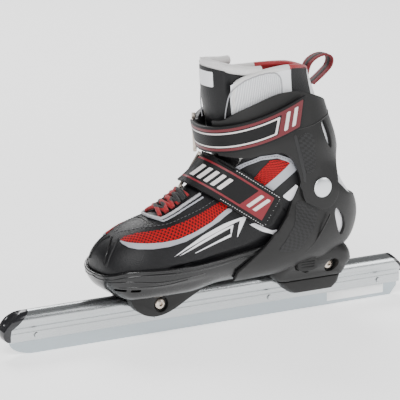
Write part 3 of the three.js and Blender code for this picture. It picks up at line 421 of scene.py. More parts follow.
def side_spots(points, offset, side=-1, lift=0.0):
    """Points on the grown form at side-view places (x, z); side -1 is the outer side."""
    grid = np.arange(0.02, TOP_STATION, 0.02)
    row = form_section(grid)
    made = []
    for x, z in points:
        dx, dz = row[:, 2] - row[:, 0], row[:, 3] - row[:, 1]
        share = ((x - row[:, 0]) * dx + (z - row[:, 1]) * dz) / (dx * dx + dz * dz)
        gap = np.abs((x - row[:, 0]) * dz - (z - row[:, 1]) * dx) / np.hypot(dx, dz)
        k = np.argmin(gap + 60 * np.maximum(np.abs(share - 0.5) - 0.5, 0))
        t, middle = min(max(share[k], 0.001), 0.999), row[k, 5]
        if t < middle:
            a = math.acos((1 - t / middle) ** (row[k, 6] / 2))
        else:
            a = math.acos(-(((t - middle) / (1 - middle)) ** (row[k, 7] / 2)))
        s = np.array(grid[k])
        made.append(form_grown(s, np.array(side * a), offset if callable(offset) else float(offset) + lift))
    return np.array(made)


def tube(name, path, radius, finish, body=None, flat=1.0, closed=False, **rest):
    """A round bead, cord or piping along a path in millimetres."""
    curve = bpy.data.curves.new(name, "CURVE")
    curve.dimensions = "3D"
    curve.bevel_depth = radius * MM
    curve.bevel_resolution = 2
    curve.use_fill_caps = True
    paths = path if isinstance(path, list) else [path]
    for line in paths:
        spline = curve.splines.new("POLY")
        spline.points.add(len(line) - 1)
        spline.use_cyclic_u = closed
        for point, (x, y, z) in zip(spline.points, line):
            point.co = (x * MM, y * MM, z * MM, 1)
    pick_up(placed(name, curve))
    bpy.ops.object.convert(target="MESH")
    piece = bpy.context.object
    smooth_over(piece, 60)
    return fit(piece, finish, body, **rest)


def traced(points, offset, side=-1, steps=6):
    return side_spots(rounded(points, closed=False, steps=steps), offset, side)


toe_black = moulded("toe_shell_black", (0.006, 0.006, 0.0065), 0.2, 0.34, 1100.0, 0.00008, 0.25,
                    specular=0.3, coat=0.35)
RIM = [[-140, 65], [-118, 65.5], [-104, 71.5], [-85, 72.5], [-60, 71.5], [-40, 71], [-15, 72.2],
       [10, 75], [29, 77.5], [62, 82]]
SHELL_WALL, SHELL_FIT, SOLE_DROP, TOE_END = 3, 0.45, 5.4, 62
toe_outline = RIM + [[TOE_END, 36], [-140, 36]]
vents = [[-111, 52.2, -102.5, 54.6], [-100, 51.8, -91, 54.2]]


def toe_outer(s, a):
    drop = ease(np.cos(a), 0.45, 0.85) * ease(s, 2.2, 3.6) * (1 - 0.8 * ease(s, 6, 7.8))
    return SHELL_FIT + SHELL_WALL + SOLE_DROP * drop


def keep_toe(p, s, a):
    level = within(toe_outline, p[..., 0], p[..., 2])
    for x0, z0, x1, z1 in vents:
        hole = within([[x0, z0], [x0 + 1, z1], [x1, z1], [x1, z0]], p[..., 0], p[..., 2])
        level = np.minimum(level, np.where(p[..., 1] < 0, -hole, UNCUT))
    return level


def rest_on_plate(piece, low=43.9, half=21.5):
    """Flattens the underside where it lies on the base plate."""
    for v in piece.data.vertices:
        if v.co.z < low * MM and abs(v.co.y) < half * MM:
            v.co.z = low * MM


toe_shell = trimmed_sheet("toe_shell_skin", keep_toe, toe_outer, (0.02, 12.5), ALL_ROUND, 1.3)
rest_on_plate(toe_shell)
give_wall(toe_shell, SHELL_WALL - 0.3, 0.5)
fit(toe_shell, toe_black, "toe", "toe_plastic", ["toe_shell"])


def evened(path, step=3.0, rounds=6):
    """The path with even steps, its kinks worked out."""
    run = np.concatenate([[0], np.cumsum(np.linalg.norm(np.diff(path, axis=0), axis=1))])
    at = np.linspace(0, run[-1], max(int(run[-1] / step), 4))
    path = np.stack([np.interp(at, run, path[:, k]) for k in range(3)], -1)
    for _ in range(rounds):
        path[1:-1] = (path[:-2] + 2 * path[1:-1] + path[2:]) / 4
    return path


def toe_loop(level, slope, offset, x_end):
    """A line round the toe at a height of its own, found on the form by its angle."""
    made = []
    for side in (-1, 1):
        line = []
        for s in np.arange(0.6, 9.6, 0.12):
            a = np.linspace(0.02, math.pi - 0.02, 260)
            p = form_grown(np.full(a.shape, s), a * side, offset)
            want = np.interp(p[:, 0], level[0], level[1]) + slope
            k = int(np.argmin(np.abs(p[:, 2] - want)))
            if p[k, 0] < x_end:
                line.append(p[k])
        made.append(np.array(line))
    return np.concatenate([made[0][::-1], made[1]])


RIM_LEVEL = np.array(RIM).T
BEAD_END = 29
for count, (drop, radius, offset) in enumerate([(-1.3, 1.5, 2.7), (-4.7, 1.25, 2.9)]):
    bead = evened(toe_loop(RIM_LEVEL, drop, offset, BEAD_END), 2.5, 5)
    tube(f"toe_rim_bead_{count + 1}", bead, radius, toe_black, "toe", slot="toe_plastic")
for side, tag in SIDES:
    tube(f"toe_crease_{tag}", traced([[-112, 61], [-100, 62.6], [-76, 61.2], [-52, 62], [-29, 63.4]], 2.9,
                                     side),
         1.1, toe_black, "toe", slot="toe_plastic")
    tube(f"toe_crease_low_{tag}", traced([[-106, 57.6], [-90, 58.4], [-70, 58.6], [-48, 60.5]], 3.1, side),
         0.9, toe_black, "toe", slot="toe_plastic")

# ---- Heel shell ----------------------------------------------------------------------------
# The rear half of the hard boot in matt charcoal plastic: a cup round the heel with an oval
# window at each side, and a solid foot below it that takes the tube, the size button and the
# rear bolt.
shell_grey = moulded("shell_charcoal", (0.013, 0.0128, 0.0128), 0.38, 0.52, 1300.0, 0.00014, 0.18,
                     specular=0.24, coat=0.06)
heel_outline = [[6, 38], [6, 57], [15, 64.5], [31, 77], [46, 92], [56, 107], [64, 121], [71, 134],
                [80, 142], [98, 142], [107, 136], [113, 129], [126, 117], [136, 111], [160, 107], [160, 38]]
heel_window = rounded([[110, 105], [115, 101], [120, 93], [122, 84], [119, 77], [114, 82], [110, 92],
                       [108, 100]])


def heel_outer(s, a):
    return SHELL_FIT + toe_outer(s, a) * (1 - ease(s, 11.7, 13.2)) + SHELL_WALL


def keep_heel(p, s, a):
    x, y, z = p[..., 0], p[..., 1], p[..., 2]
    level = np.minimum(within(heel_outline, x, z), z - 47)
    return np.minimum(level, np.where(np.abs(y) > 8, -within(heel_window, x, z), UNCUT))


heel_shell = trimmed_sheet("heel_shell_skin", keep_heel, heel_outer, (6.5, 17.6), ALL_ROUND, 1.5)
give_wall(heel_shell, SHELL_WALL, 0.5)
fit(heel_shell, shell_grey, "root", "shell_plastic", ["heel_shell"])


def solid_from(name, points, faces):
    mesh = bpy.data.meshes.new(name)
    mesh.from_pydata([tuple(c * MM for c in p) for p in points], [], faces)
    piece = placed(name, mesh)
    pick_up(piece)
    bpy.ops.object.mode_set(mode="EDIT")
    bpy.ops.mesh.select_all(action="SELECT")
    bpy.ops.mesh.normals_make_consistent(inside=False)
    bpy.ops.object.mode_set(mode="OBJECT")
    return piece


def between_ends(n):
    """The faces of a block whose two ends have n corners each."""
    return [list(range(n)), list(range(n, 2 * n))] + [
        [i, (i + 1) % n, n + (i + 1) % n, n + i] for i in range(n)]


def side_block(name, outline, y0, y1):
    """A flat side-view outline given a depth across the skate."""
    return solid_from(name, [(x, y, z) for y in (y0, y1) for x, z in outline], between_ends(len(outline)))


def long_block(name, section, x0, x1):
    """A closed section (y, z) drawn out along the skate."""
    return solid_from(name, [(x, y, z) for x in (x0, x1) for y, z in section], between_ends(len(section)))


def carve(piece, cutter, operation="DIFFERENCE"):
    add_modifier(piece, "BOOLEAN", operation=operation, object=cutter, solver="EXACT")
    bpy.data.objects.remove(cutter)
    return piece


def cross_rod(x, z, radius, y0, y1, sides=48):
    """A round bar across the skate."""
    bpy.ops.object.select_all(action="DESELECT")
    bpy.ops.mesh.primitive_cylinder_add(vertices=sides, radius=radius * MM, depth=abs(y1 - y0) * MM,
                                        location=(x * MM, (y0 + y1) / 2 * MM, z * MM),
                                        rotation=(math.pi / 2, 0, 0))
    bpy.ops.object.transform_apply(location=True, rotation=True, scale=True)
    return bpy.context.object


def foot_ring(z, x0, x1, half, radius, corner=7):
    ring = []
    radius = min(radius, half - 0.5)
    for cx, cy, start in ((x1 - radius, half - radius, 0), (x0 + radius, half - radius, 90),
                          (x0 + radius, -half + radius, 180), (x1 - radius, -half + radius, 270)):
        for k in range(corner + 1):
            turn = math.radians(start + 90 * k / corner)
            ring.append((cx + radius * math.cos(turn), cy + radius * math.sin(turn), z))
    return ring


# Height, rear-to-front ends, half width and corner radius of the foot, from the tube up.
FOOT_LEVELS = [(22, 78, 124, 19, 6), (27, 71, 129, 19.6, 6), (30.5, 68, 130, 19.8, 6),
               (33.3, 65.3, 131, 20, 6),
               (33.6, 65.6, 130.7, 19.7, 6), (33.9, 66.6, 129.8, 18.8, 6), (34.6, 66.4, 130, 18.8, 6),
               (34.9, 63, 132.4, 21, 7), (35.3, 62, 133, 21.6, 7), (38, 59.3, 134.6, 22.7, 8),
               (41, 57, 136, 24, 9),
               (45, 56.4, 138, 26.6, 11), (50, 56, 139.4, 30, 13), (54, 57.6, 138.8, 31.7, 15),
               (58, 60, 137.8, 32.6, 17),
               (62, 63, 136, 33, 20), (66, 66, 132.5, 32, 22), (70, 70, 127, 29, 22)]
rings = [foot_ring(*level) for level in FOOT_LEVELS]
around, last = len(rings[0]), len(rings) - 1
walls = [[r * around + i, r * around + (i + 1) % around, (r + 1) * around + (i + 1) % around,
          (r + 1) * around + i] for r in range(last) for i in range(around)]
caps = [list(range(around)), [last * around + i for i in range(around)]]
heel_foot = solid_from("heel_foot", [p for ring in rings for p in ring], walls + caps)
TUBE_Z, TUBE_RADIUS = 32, 8.5
BUTTON_X, BUTTON_Z = 84.5, 53
BOLT_X, BOLT_Z = 114.7, 46.5
SLOT_HALF = 8.9
slot_outline = [(-SLOT_HALF, 10), (-SLOT_HALF, TUBE_Z)] + [
    (SLOT_HALF * math.cos(math.radians(180 - 15 * k)), TUBE_Z + SLOT_HALF * math.sin(math.radians(15 * k)))
    for k in range(1, 12)] + [(SLOT_HALF, TUBE_Z), (SLOT_HALF, 10)]
carve(heel_foot, long_block("tube_slot", slot_outline, 40, 160))


def button_outline(grow):
    w, h = 11 + grow, 6.6 + grow
    return rounded([[BUTTON_X - w, BUTTON_Z + 0.3 * h], [BUTTON_X - 0.75 * w, BUTTON_Z - 0.8 * h],
                    [BUTTON_X + 0.1 * w, BUTTON_Z - h], [BUTTON_X + 0.85 * w, BUTTON_Z - 0.7 * h],
                    [BUTTON_X + w, BUTTON_Z + 0.1 * h], [BUTTON_X + 0.6 * w, BUTTON_Z + 0.9 * h],
                    [BUTTON_X - 0.6 * w, BUTTON_Z + h]], steps=7).tolist()


carve(heel_foot, side_block("button_pocket", button_outline(0.9), -60, -26.5))
for side in (-1, 1):
    carve(heel_foot, cross_rod(BOLT_X, BOLT_Z, 7.1, side * 60, side * 19.5))
soften(heel_foot, 0.5, 2, 38)
smooth_over(heel_foot, 35)
fit(heel_foot, shell_grey, "root", "shell_plastic")
for side, tag in SIDES:
    tube(f"heel_ridge_{tag}", traced([[99.4, 101.5], [96, 95], [86, 78.5], [76, 69], [66, 61.5]], 6.35,
                                     side),
         0.8, shell_grey, "root", slot="shell_plastic")

# A checked grip in front of the ridge and on the cuff's arm: a thin panel with low squares.
check_black, tree, shader = material("pressed_check", specular=0.3)
chart = put(tree, "ShaderNodeUVMap", -1100, uv_map="cloth")
check = put(tree, "ShaderNodeTexChecker", -800, in_Scale=0.42,
            in_Color1=(0.020, 0.020, 0.021, 1), in_Color2=(0.008, 0.008, 0.008, 1))
wire(tree, chart, "UV", check, "Vector",
     check, "Color", shader, "Base Color")
polish = put(tree, "ShaderNodeMapRange", -500, -200, in_To_Min=0.42, in_To_Max=0.62)
wire(tree, check, "Fac", polish, "Value",
     polish, "Result", shader, "Roughness")
raised(tree, shader, check.outputs["Fac"], 0.0005, 0.8)
heel_check = rounded([[66, 116], [78, 112], [87, 108], [86, 95], [77, 81], [68, 71], [48, 72.5], [55, 84],
                      [62, 98]])
arm_check = rounded([[66, 176], [80, 178], [84, 162], [82.5, 146], [75, 141], [71, 150], [68, 162]])
for part, outline, offset, spans, body in (
        ("heel", heel_check, lambda s, a: heel_outer(s, a) + 0.25, (8, 16), "root"),
        ("arm", arm_check, 7.65, (15, 20), "cuff")):
    for span, tag in HALVES:
        grip = trimmed_sheet(f"{part}_check_{tag}", lambda p, s, a: within(outline, p[..., 0], p[..., 2]),
                             offset, spans, span, 1.4)
        give_wall(grip, 0.5, 0)
        fit(grip, check_black, body, "shell_plastic")

# ---- Cuff ----------------------------------------------------------------------------------
# The hinged upper shell, moulded in the same charcoal plastic: a collar round the shaft that is
# open at the front, with an arm down each side to its pivot and a long window at the back.
CUFF_OUT = 7.4
cuff_outline = [[140, 150], [124, 158], [117, 154], [113, 143], [111, 130], [109.5, 119], [102, 109.5],
                [91, 106.8], [80, 109.5], [72, 117], [68.5, 128], [65.5, 142], [60, 155], [52, 162],
                [43, 164.3], [28, 162.4], [14, 159.9], [-6, 161], [-40, 163], [-40, 196], [-6, 193],
                [9.5, 203], [38, 214.5], [55, 217.5], [74, 216], [96, 208], [112, 201], [140, 196]]
cuff_line = rounded(cuff_outline, steps=4)
cuff_window = rounded([[95, 184], [99.5, 187], [104, 178], [107, 167], [106, 160.5], [102, 164],
                       [97.5, 174]])
low_wing = [[-60, 189], [0, 189], [30, 200], [62, 216], [62, 300], [-60, 300]]


def keep_cuff(p, s, a):
    x, y, z = p[..., 0], p[..., 1], p[..., 2]
    level = within(cuff_line, x, z)
    level = np.minimum(level, np.where(x < 40, np.abs(y) - 15, UNCUT))
    level = np.minimum(level, np.where(np.abs(y) > 8, -within(cuff_window, x, z), UNCUT))
    return np.minimum(level, np.where(y > 0, -within(low_wing, x, z), UNCUT))


cuff = trimmed_sheet("cuff_skin", keep_cuff, CUFF_OUT, (13.6, 22), ALL_ROUND, 1.5)
give_wall(cuff, SHELL_WALL, 0.5)
fit(cuff, shell_grey, "cuff", "shell_plastic", ["cuff"])
for side, tag in SIDES:
    tube(f"cuff_band_edge_{tag}", traced([[6, 167], [27, 173], [56, 181], [79, 183.5], [100, 187],
                                          [110, 188.5]],
                                         CUFF_OUT - 0.3, side), 0.75, shell_grey, "cuff",
                                         slot="shell_plastic")

# The groove down each cuff arm is not cut: a dark sheet on the surface stands in for it as painted shade of
# the groove.
groove_painted_shade = moulded("groove_painted_shade", (0.008, 0.008, 0.009), 0.5, 0.7, 900.0, 0.00005)
for span, tag in HALVES:
    groove = trimmed_sheet(f"arm_groove_shade_{tag}", lambda p, s, a: within(
        rounded([[60.5, 177.5], [63, 178], [69, 158], [72, 143], [72.5, 133], [70.6, 134], [68.4, 145],
                 [65, 158]]),
        p[..., 0], p[..., 2]), CUFF_OUT + 0.15, (15, 20), span, 1.2)
    give_wall(groove, 0.4, 0)
    fit(groove, groove_painted_shade, "cuff", "shell_plastic")

# Each pivot is a rivet with a low domed cover in satin silver.
silver_paint = moulded("satin_silver", (0.72, 0.74, 0.76), 0.28, 0.36, 700.0, 0.00003, 0.04, metallic=0.75)
PIVOT_X, PIVOT_Z, COVER_RADIUS = 90, 127.7, 9.2
for node, side in (("cuff_pivot_near", -1), ("cuff_pivot_far", 1)):
    low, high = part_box(node)
    seat = (-low.y if side < 0 else high.y) / MM
    bpy.ops.object.select_all(action="DESELECT")
    bpy.ops.mesh.primitive_uv_sphere_add(segments=48, ring_count=24, radius=COVER_RADIUS * MM)
    cover = bpy.context.object
    cover.name = node + "_cover"
    for v in cover.data.vertices:
        depth = v.co.z / (COVER_RADIUS * MM)
        v.co.z = depth * 1.5 * MM if depth > 0 else max(depth, -0.4) * 2.5 * MM
    cover.data.transform(Matrix.Translation((PIVOT_X * MM, side * (seat - 1.5) * MM, PIVOT_Z * MM))
                         @ Matrix.Rotation(math.radians(90 if side < 0 else -90), 4, "X"))
    smooth_over(cover, 50)
    fit(cover, silver_paint, "cuff", "pivot_silver", [node])

# ---- Liner: the foot -----------------------------------------------------------------------
# The soft inner boot, sewn from coated black textile. It is one skin from the toe to the ankle,
# between the two shells.
leather_group, g_in, g_out = effect_group(
    "coated_grain", [("Scale", "Float", 900.0), ("Dark", "Color", None), ("Light", "Color", None)],
    [("Color", "Color"), ("Roughness", "Float"), ("Height", "Float")])
chart = put(leather_group, "ShaderNodeTexCoord", -900, 300)
cells = put(leather_group, "ShaderNodeTexVoronoi", -500, 200)
folds = put(leather_group, "ShaderNodeTexNoise", -500, -100, in_Scale=45.0, in_Detail=5.0)
tint = put(leather_group, "ShaderNodeMix", 0, 200, data_type="RGBA")
shine = put(leather_group, "ShaderNodeMapRange", 0, -200, in_To_Min=0.34, in_To_Max=0.58)
total = put(leather_group, "ShaderNodeMath", 0, -500, operation="ADD")
wire(leather_group, chart, "Object", cells, "Vector",
     chart, "Object", folds, "Vector",
     g_in, "Scale", cells, "Scale",
     folds, "Fac", tint, "Factor",
     g_in, "Dark", tint, "A",
     g_in, "Light", tint, "B",
     folds, "Fac", shine, "Value",
     cells, "Distance", total, 0,
     folds, "Fac", total, 1,
     tint, "Result", g_out, "Color",
     shine, "Result", g_out, "Roughness",
     total, "Value", g_out, "Height")


def coated(name, color, scale=1000.0, depth=0.0003, vary=0.25, **kind):
    """Coated textile or leather with a pebbled grain."""
    made, tree, shader = material(name, **kind)
    grain = put(tree, "ShaderNodeGroup", -500, node_tree=leather_group, in_Scale=scale,
                in_Dark=rgb(color, 1 - vary), in_Light=rgb(color, 1 + vary))
    wire(tree, grain, "Color", shader, "Base Color",
         grain, "Roughness", shader, "Roughness")
    raised(tree, shader, grain.outputs["Height"], depth, 0.6)
    return made


black_hide = coated("black_coated_textile", (0.0055, 0.0055, 0.0065), specular=0.32)
silver_hide = coated("silver_trim", (0.40, 0.41, 0.45), 1400.0, 0.00015, 0.06, metallic=0.15)
white_hide = coated("white_trim", (0.80, 0.80, 0.83), 1400.0, 0.00015, 0.04)
piping_silver = coated("piping_silver", (0.42, 0.42, 0.44), 1600.0, 0.0002, 0.15, metallic=0.2)
seam_black = coated("seam_black", (0.008, 0.008, 0.009), 1600.0, 0.0002)
SLIM = 2.4
JOIN = [[-80, 160], [-40, 152], [-10, 146], [20, 134], [45, 117], [60, 107], [80, 103], [160, 98]]
THROAT_EDGE = [[-70, 101], [-58, 105], [-25, 116.5], [2, 131], [30, 180], [-90, 180]]
THROAT_HALF = 15


def join_level(x):
    return np.interp(x, *np.array(JOIN).T)


def liner_offset(s, a):
    p = form_point(s, a)
    low = np.interp(p[..., 0] + 20, RIM_LEVEL[0], RIM_LEVEL[1])
    under = 1 - ease(p[..., 2] - low, 0.0, 3.0)
    high = ease(p[..., 2] - join_level(p[..., 0]), -3, 0.5)
    return -SLIM * under * ease(p[..., 0], -70, -55) - 0.8 * high


def keep_liner(p, s, a):
    x, y, z = p[..., 0], p[..., 1], p[..., 2]
    level = np.minimum(join_level(x) + 1.5 - z, 140 - x)
    gap = np.minimum(within(THROAT_EDGE, x, z), THROAT_HALF - np.abs(y))
    return np.minimum(level, np.where(x > -80, -gap, UNCUT))


liner = trimmed_sheet("liner_upper", keep_liner, liner_offset, (0.02, 17.5), ALL_ROUND, 1.7)
give_wall(liner, 3.6, 0.5)
fit(liner, black_hide, None, "liner_black", ["liner_foot", "liner_toe"])
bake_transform(liner)


def liner_panel(name, outline, finish, lift=0.55, wall=0.9, cell=1.3, spans=(0.3, 13), smooth=True,
                slot="liner_black"):
    """A panel sewn on the liner, from its side-view outline, on both sides."""
    shape = rounded(outline, steps=5) if smooth else outline
    for span, tag in HALVES:
        panel = trimmed_sheet(f"{name}_{tag}", lambda p, s, a: within(shape, p[..., 0], p[..., 2]),
                              lift, spans, span, cell)
        give_wall(panel, wall, 0)
        fit(panel, finish, None, slot)
        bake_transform(panel)


# Perforated red mesh, woven in an open diamond net over black.
red_net, tree, shader = material("red_net", specular=0.2)
chart = put(tree, "ShaderNodeUVMap", -1500, uv_map="cloth")
turn = put(tree, "ShaderNodeMapping", -1300, in_Rotation=(0, 0, math.radians(45)),
           in_Scale=(0.34, 0.34, 0.34))
cellular = put(tree, "ShaderNodeTexVoronoi", -1000, in_Scale=1.0, in_Randomness=0.0)
holes = put(tree, "ShaderNodeMapRange", -700, in_From_Min=0.28, in_From_Max=0.36)
net_color = put(tree, "ShaderNodeMix", -400, data_type="RGBA", in_A=(0.012, 0.008, 0.008, 1),
                in_B=(0.42, 0.001, 0.004, 1))
wire(tree, chart, "UV", turn, "Vector",
     turn, "Vector", cellular, "Vector",
     cellular, "Distance", holes, "Value",
     holes, "Result", net_color, "Factor",
     net_color, "Result", shader, "Base Color")
shader.inputs["Roughness"].default_value = 0.55
raised(tree, shader, holes.outputs["Result"], 0.0006, 0.8)

RED_LOW = [[-99, 95], [-94.3, 94.2], [-82, 93.6], [-67.7, 93.4], [-51.5, 94.6], [-34, 98.8], [-15.4, 105.3],
           [2, 115]]
RED_HIGH = [[2, 123], [-6.6, 119.5], [-24.2, 112.7], [-41.3, 107.3], [-58, 103.4], [-70, 102.2],
            [-83.4, 101], [-94.3, 98]]
SILVER_LOW = [[8, 114], [-7.9, 105], [-26.6, 97.8], [-44.9, 92.2], [-61.9, 89.8], [-77.4, 89.2],
              [-91.2, 89.8], [-96.5, 91], [-99.6, 93.4]]
liner_panel("red_band", RED_LOW + RED_HIGH, red_net, smooth=False)
liner_panel("silver_sweep", [[-99.4, 95.4], [-97, 94.6]] + RED_LOW[1:] + SILVER_LOW, silver_hide, lift=0.8,
            smooth=False)
CHEVRONS = [
    [[-64, 79.2], [-46, 87.3], [-27, 95.2], [-5, 102], [19, 107.6], [13, 97.5], [7, 88], [9.6, 98],
     [11.8, 103.6], [-4, 98.6], [-28, 91.6], [-46, 85.8]],
    [[-60, 79.2], [-32, 89.6], [-13, 95.6], [5, 100.6], [3.6, 96.4], [1.6, 91.8], [1.4, 95.4], [2.4, 98.2],
     [-13, 93.4], [-32, 87.6]],
    [[-48, 79], [-20, 86.8], [2.6, 93.2], [1, 90.4], [-16, 86.4], [-33, 82.4]]]
for count, outline in enumerate(CHEVRONS):
    liner_panel(f"chevron_{count + 1}", outline, white_hide, lift=0.5, smooth=False, cell=0.55)
liner_panel("heel_window_lining", [[102, 112], [104, 74], [150, 74], [150, 112]], white_hide, lift=0.35,
            wall=0.6, smooth=False, spans=(11, 17.6), slot="liner_white")
liner_panel("side_curl", [[20, 99.5], [26, 95.5], [33, 91.5], [44.3, 87.5], [51, 88], [49.3, 91.4],
                          [42, 91.5], [34, 95.5], [26, 100]],
            white_hide, lift=0.6, smooth=False)


def stitches(name, path, finish, body=None, length=2.2, gap=1.6, radius=0.28, slot=None):
    """A row of short threads along a path."""
    steps = np.linalg.norm(np.diff(path, axis=0), axis=1)
    run = np.concatenate([[0], np.cumsum(steps)])
    threads = []
    for start in np.arange(0.5, run[-1] - length, length + gap):
        at = [start, start + length * 0.5, start + length]
        threads.append(np.stack([np.interp(at, run, path[:, k]) for k in range(3)], -1))
    return tube(name, threads, radius, finish, body, slot=slot)


white_thread = coated("white_thread", (0.7, 0.7, 0.7), 2500.0, 0.0001)
dark_thread = coated("dark_thread", (0.10, 0.10, 0.105), 2500.0, 0.0001)


def throat_line(offset, half):
    """The edge of the lace opening: up the outer side, round its front end and down the inner."""
    made = []
    for s in np.arange(5.15, 8.6, 0.1):
        width = half * min(1.0, ((s - 5.1) / 0.45) ** 0.5 if s < 5.55 else 1.0)
        a = np.linspace(math.pi / 2, math.pi, 200)
        p = form_grown(np.full(a.shape, s), -a, offset)
        made.append(p[int(np.argmin(np.abs(p[:, 1] + width)))])
    near = np.array(made)
    far = near * np.array([1, -1, 1])
    return np.concatenate([near[::-1], far])


throat = tube("throat_piping", throat_line(0.6, THROAT_HALF + 0.6), 1.5, piping_silver, None,
              slot="liner_black")
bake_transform(throat)
outer_throat = tube("throat_piping_wide", throat_line(0.2, THROAT_HALF + 3.2), 0.9, silver_hide, None,
                    slot="liner_black")
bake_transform(outer_throat)
for side, tag in SIDES:
    run = traced([[-96.4, 98.8], [-82.5, 103.2], [-68.7, 104.8], [-53.7, 106.4], [-36.8, 111.4],
                  [-19.9, 116.9], [-7.4, 122.4]], 0.25, side)
    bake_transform(stitches(f"net_stitches_{tag}", run, dark_thread, slot="liner_black"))
    seam = tube(f"toe_seam_{tag}", evened(traced([[-99.3, 95.2], [-103.3, 91.2], [-108.2, 86], [-112, 80],
                                                  [-114.2, 73.5]], 0.1, side), 2.0), 0.8,
                seam_black, None, slot="liner_black")
    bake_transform(seam)
    pipe = tube(f"toe_piping_{tag}", evened(traced([[-101, 95.6], [-105, 91.8], [-109.8, 86.4],
                                                    [-113.2, 80.4], [-115, 75]], 0.3, side), 2.0), 0.9,
                toe_black, None, slot="liner_black")
    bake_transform(pipe)

# ---- Insole --------------------------------------------------------------------------------
# A felt footbed that lies on the sole inside the liner.
felt = coated("black_felt", (0.03, 0.03, 0.033), 1500.0, 0.0004, 0.3, sheen=0.3)
sole_line = [[-60, 40], [-60, 57.2], [40, 57.6], [88, 64], [126, 69], [133, 72.6], [133, 40]]
insole = trimmed_sheet("footbed", lambda p, s, a: np.minimum(within(sole_line, p[..., 0], p[..., 2]),
    1.2 - np.abs(a)),
                       -7.2, (5.2, 14.5), (-1.3, 1.3), 2.4)
give_wall(insole, -2.2, 0.4)
fit(insole, felt, "root", "insole_foam", ["insole"])

# ---- Liner: the shaft ----------------------------------------------------------------------
# The upper liner sits in the cuff. Black textile with a silver arch, a red net and slanted bands
# at the ankle, a white ribbed side, and a soft rolled edge.
collar_top = [[-60, 222], [-4.5, 213], [-1, 222], [12, 231], [34, 238], [64, 240.5], [84, 237], [99, 231.5],
              [160, 229]]
collar_front = [[8, 100], [8, 150], [3, 156], [4, 165], [2, 180], [-1, 198], [-4.5, 213], [-2, 224]]


def collar_level(x):
    return np.interp(x, *np.array(collar_top).T)


def keep_shaft(p, s, a):
    x, y, z = p[..., 0], p[..., 1], p[..., 2]
    level = np.minimum(z - join_level(x), collar_level(x) - 2.5 - z)
    half = THROAT_HALF + 11 * ease(z, 136, 160)
    front = np.interp(z, np.array(collar_front)[:, 1], np.array(collar_front)[:, 0]) + 2.5
    level = np.minimum(level, np.where(x < 24, np.abs(y) - half, UNCUT))
    level = np.minimum(level, np.where((z > 150) & (x < 40), x - front, UNCUT))
    fall = 235.5 - 2.5 - math.tan(math.radians(7.5)) * y - z
    return np.minimum(level, np.where(z > 200, fall, UNCUT))


shaft = trimmed_sheet("liner_shaft", keep_shaft, 0.0, (8, 22), ALL_ROUND, 1.6)
rim_source = shaft.data.copy()
give_wall(shaft, 3.4, 0.6)
fit(shaft, black_hide, None, "liner_black", ["liner_collar"])
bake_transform(shaft)

red_lining, tree, shader = material("red_lining", sheen=0.4)
chart = put(tree, "ShaderNodeTexCoord", -1100)
cloth = put(tree, "ShaderNodeTexNoise", -800, in_Scale=900.0, in_Detail=2.0)
ramp = put(tree, "ShaderNodeMix", -400, data_type="RGBA", in_A=(0.16, 0.002, 0.005, 1),
           in_B=(0.34, 0.005, 0.010, 1))
wire(tree, chart, "Object", cloth, "Vector",
     cloth, "Fac", ramp, "Factor",
     ramp, "Result", shader, "Base Color")
shader.inputs["Roughness"].default_value = 0.8
raised(tree, shader, cloth.outputs["Fac"], 0.0005, 0.6)
lining = trimmed_sheet("red_inner_lining", lambda p, s, a: np.minimum(keep_shaft(p, s, a), p[..., 2] - 112),
                       -3.7, (9, 22), ALL_ROUND, 2.4)
give_wall(lining, 0.9, 0)
fit(lining, red_lining, None, "liner_white")
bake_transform(lining)

# The white side of the collar is a knitted fabric with fine upright ribs.
white_rib, tree, shader = material("white_ribbed_knit", sheen=0.3)
chart = put(tree, "ShaderNodeTexCoord", -1300)
lean = put(tree, "ShaderNodeMapping", -1100, in_Rotation=(0, math.radians(-8), 0))
ribs = put(tree, "ShaderNodeTexWave", -800, bands_direction="X", in_Scale=150.0, in_Distortion=0.6,
           in_Detail=1.0)
# The darker colour A falls in the valleys between the ribs, in step with the bump: painted shade on the white
# knit.
knit_and_rib_shade = put(tree, "ShaderNodeMix", -400, data_type="RGBA", in_A=(0.56, 0.57, 0.60, 1),
           in_B=(0.83, 0.84, 0.86, 1))
wire(tree, chart, "Object", lean, "Vector",
     lean, "Vector", ribs, "Vector",
     ribs, "Fac", knit_and_rib_shade, "Factor",
     knit_and_rib_shade, "Result", shader, "Base Color")
shader.inputs["Roughness"].default_value = 0.85
raised(tree, shader, ribs.outputs["Fac"], 0.0006, 0.8)

white_skin = coated("white_soft_textile", (0.82, 0.83, 0.86), 1300.0, 0.0002, 0.03, sheen=0.2)


def shaft_panel(name, outline, finish, lift=0.5, wall=0.8, cell=1.4, smooth=True, trim=True,
                slot="liner_black"):
    """A panel sewn on the upper liner, on both sides, cut off at its edge if trim is set."""
    shape = rounded(outline, steps=5) if smooth else outline
    for span, tag in HALVES:

        def keep(p, s, a):
            level = within(shape, p[..., 0], p[..., 2])
            return np.minimum(level, keep_shaft(p, s, a) + 0.5) if trim else level

        panel = trimmed_sheet(f"{name}_{tag}", keep, lift, (8.5, 22), span, cell)
        give_wall(panel, wall, 0)
        fit(panel, finish, None, slot)
        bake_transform(panel)


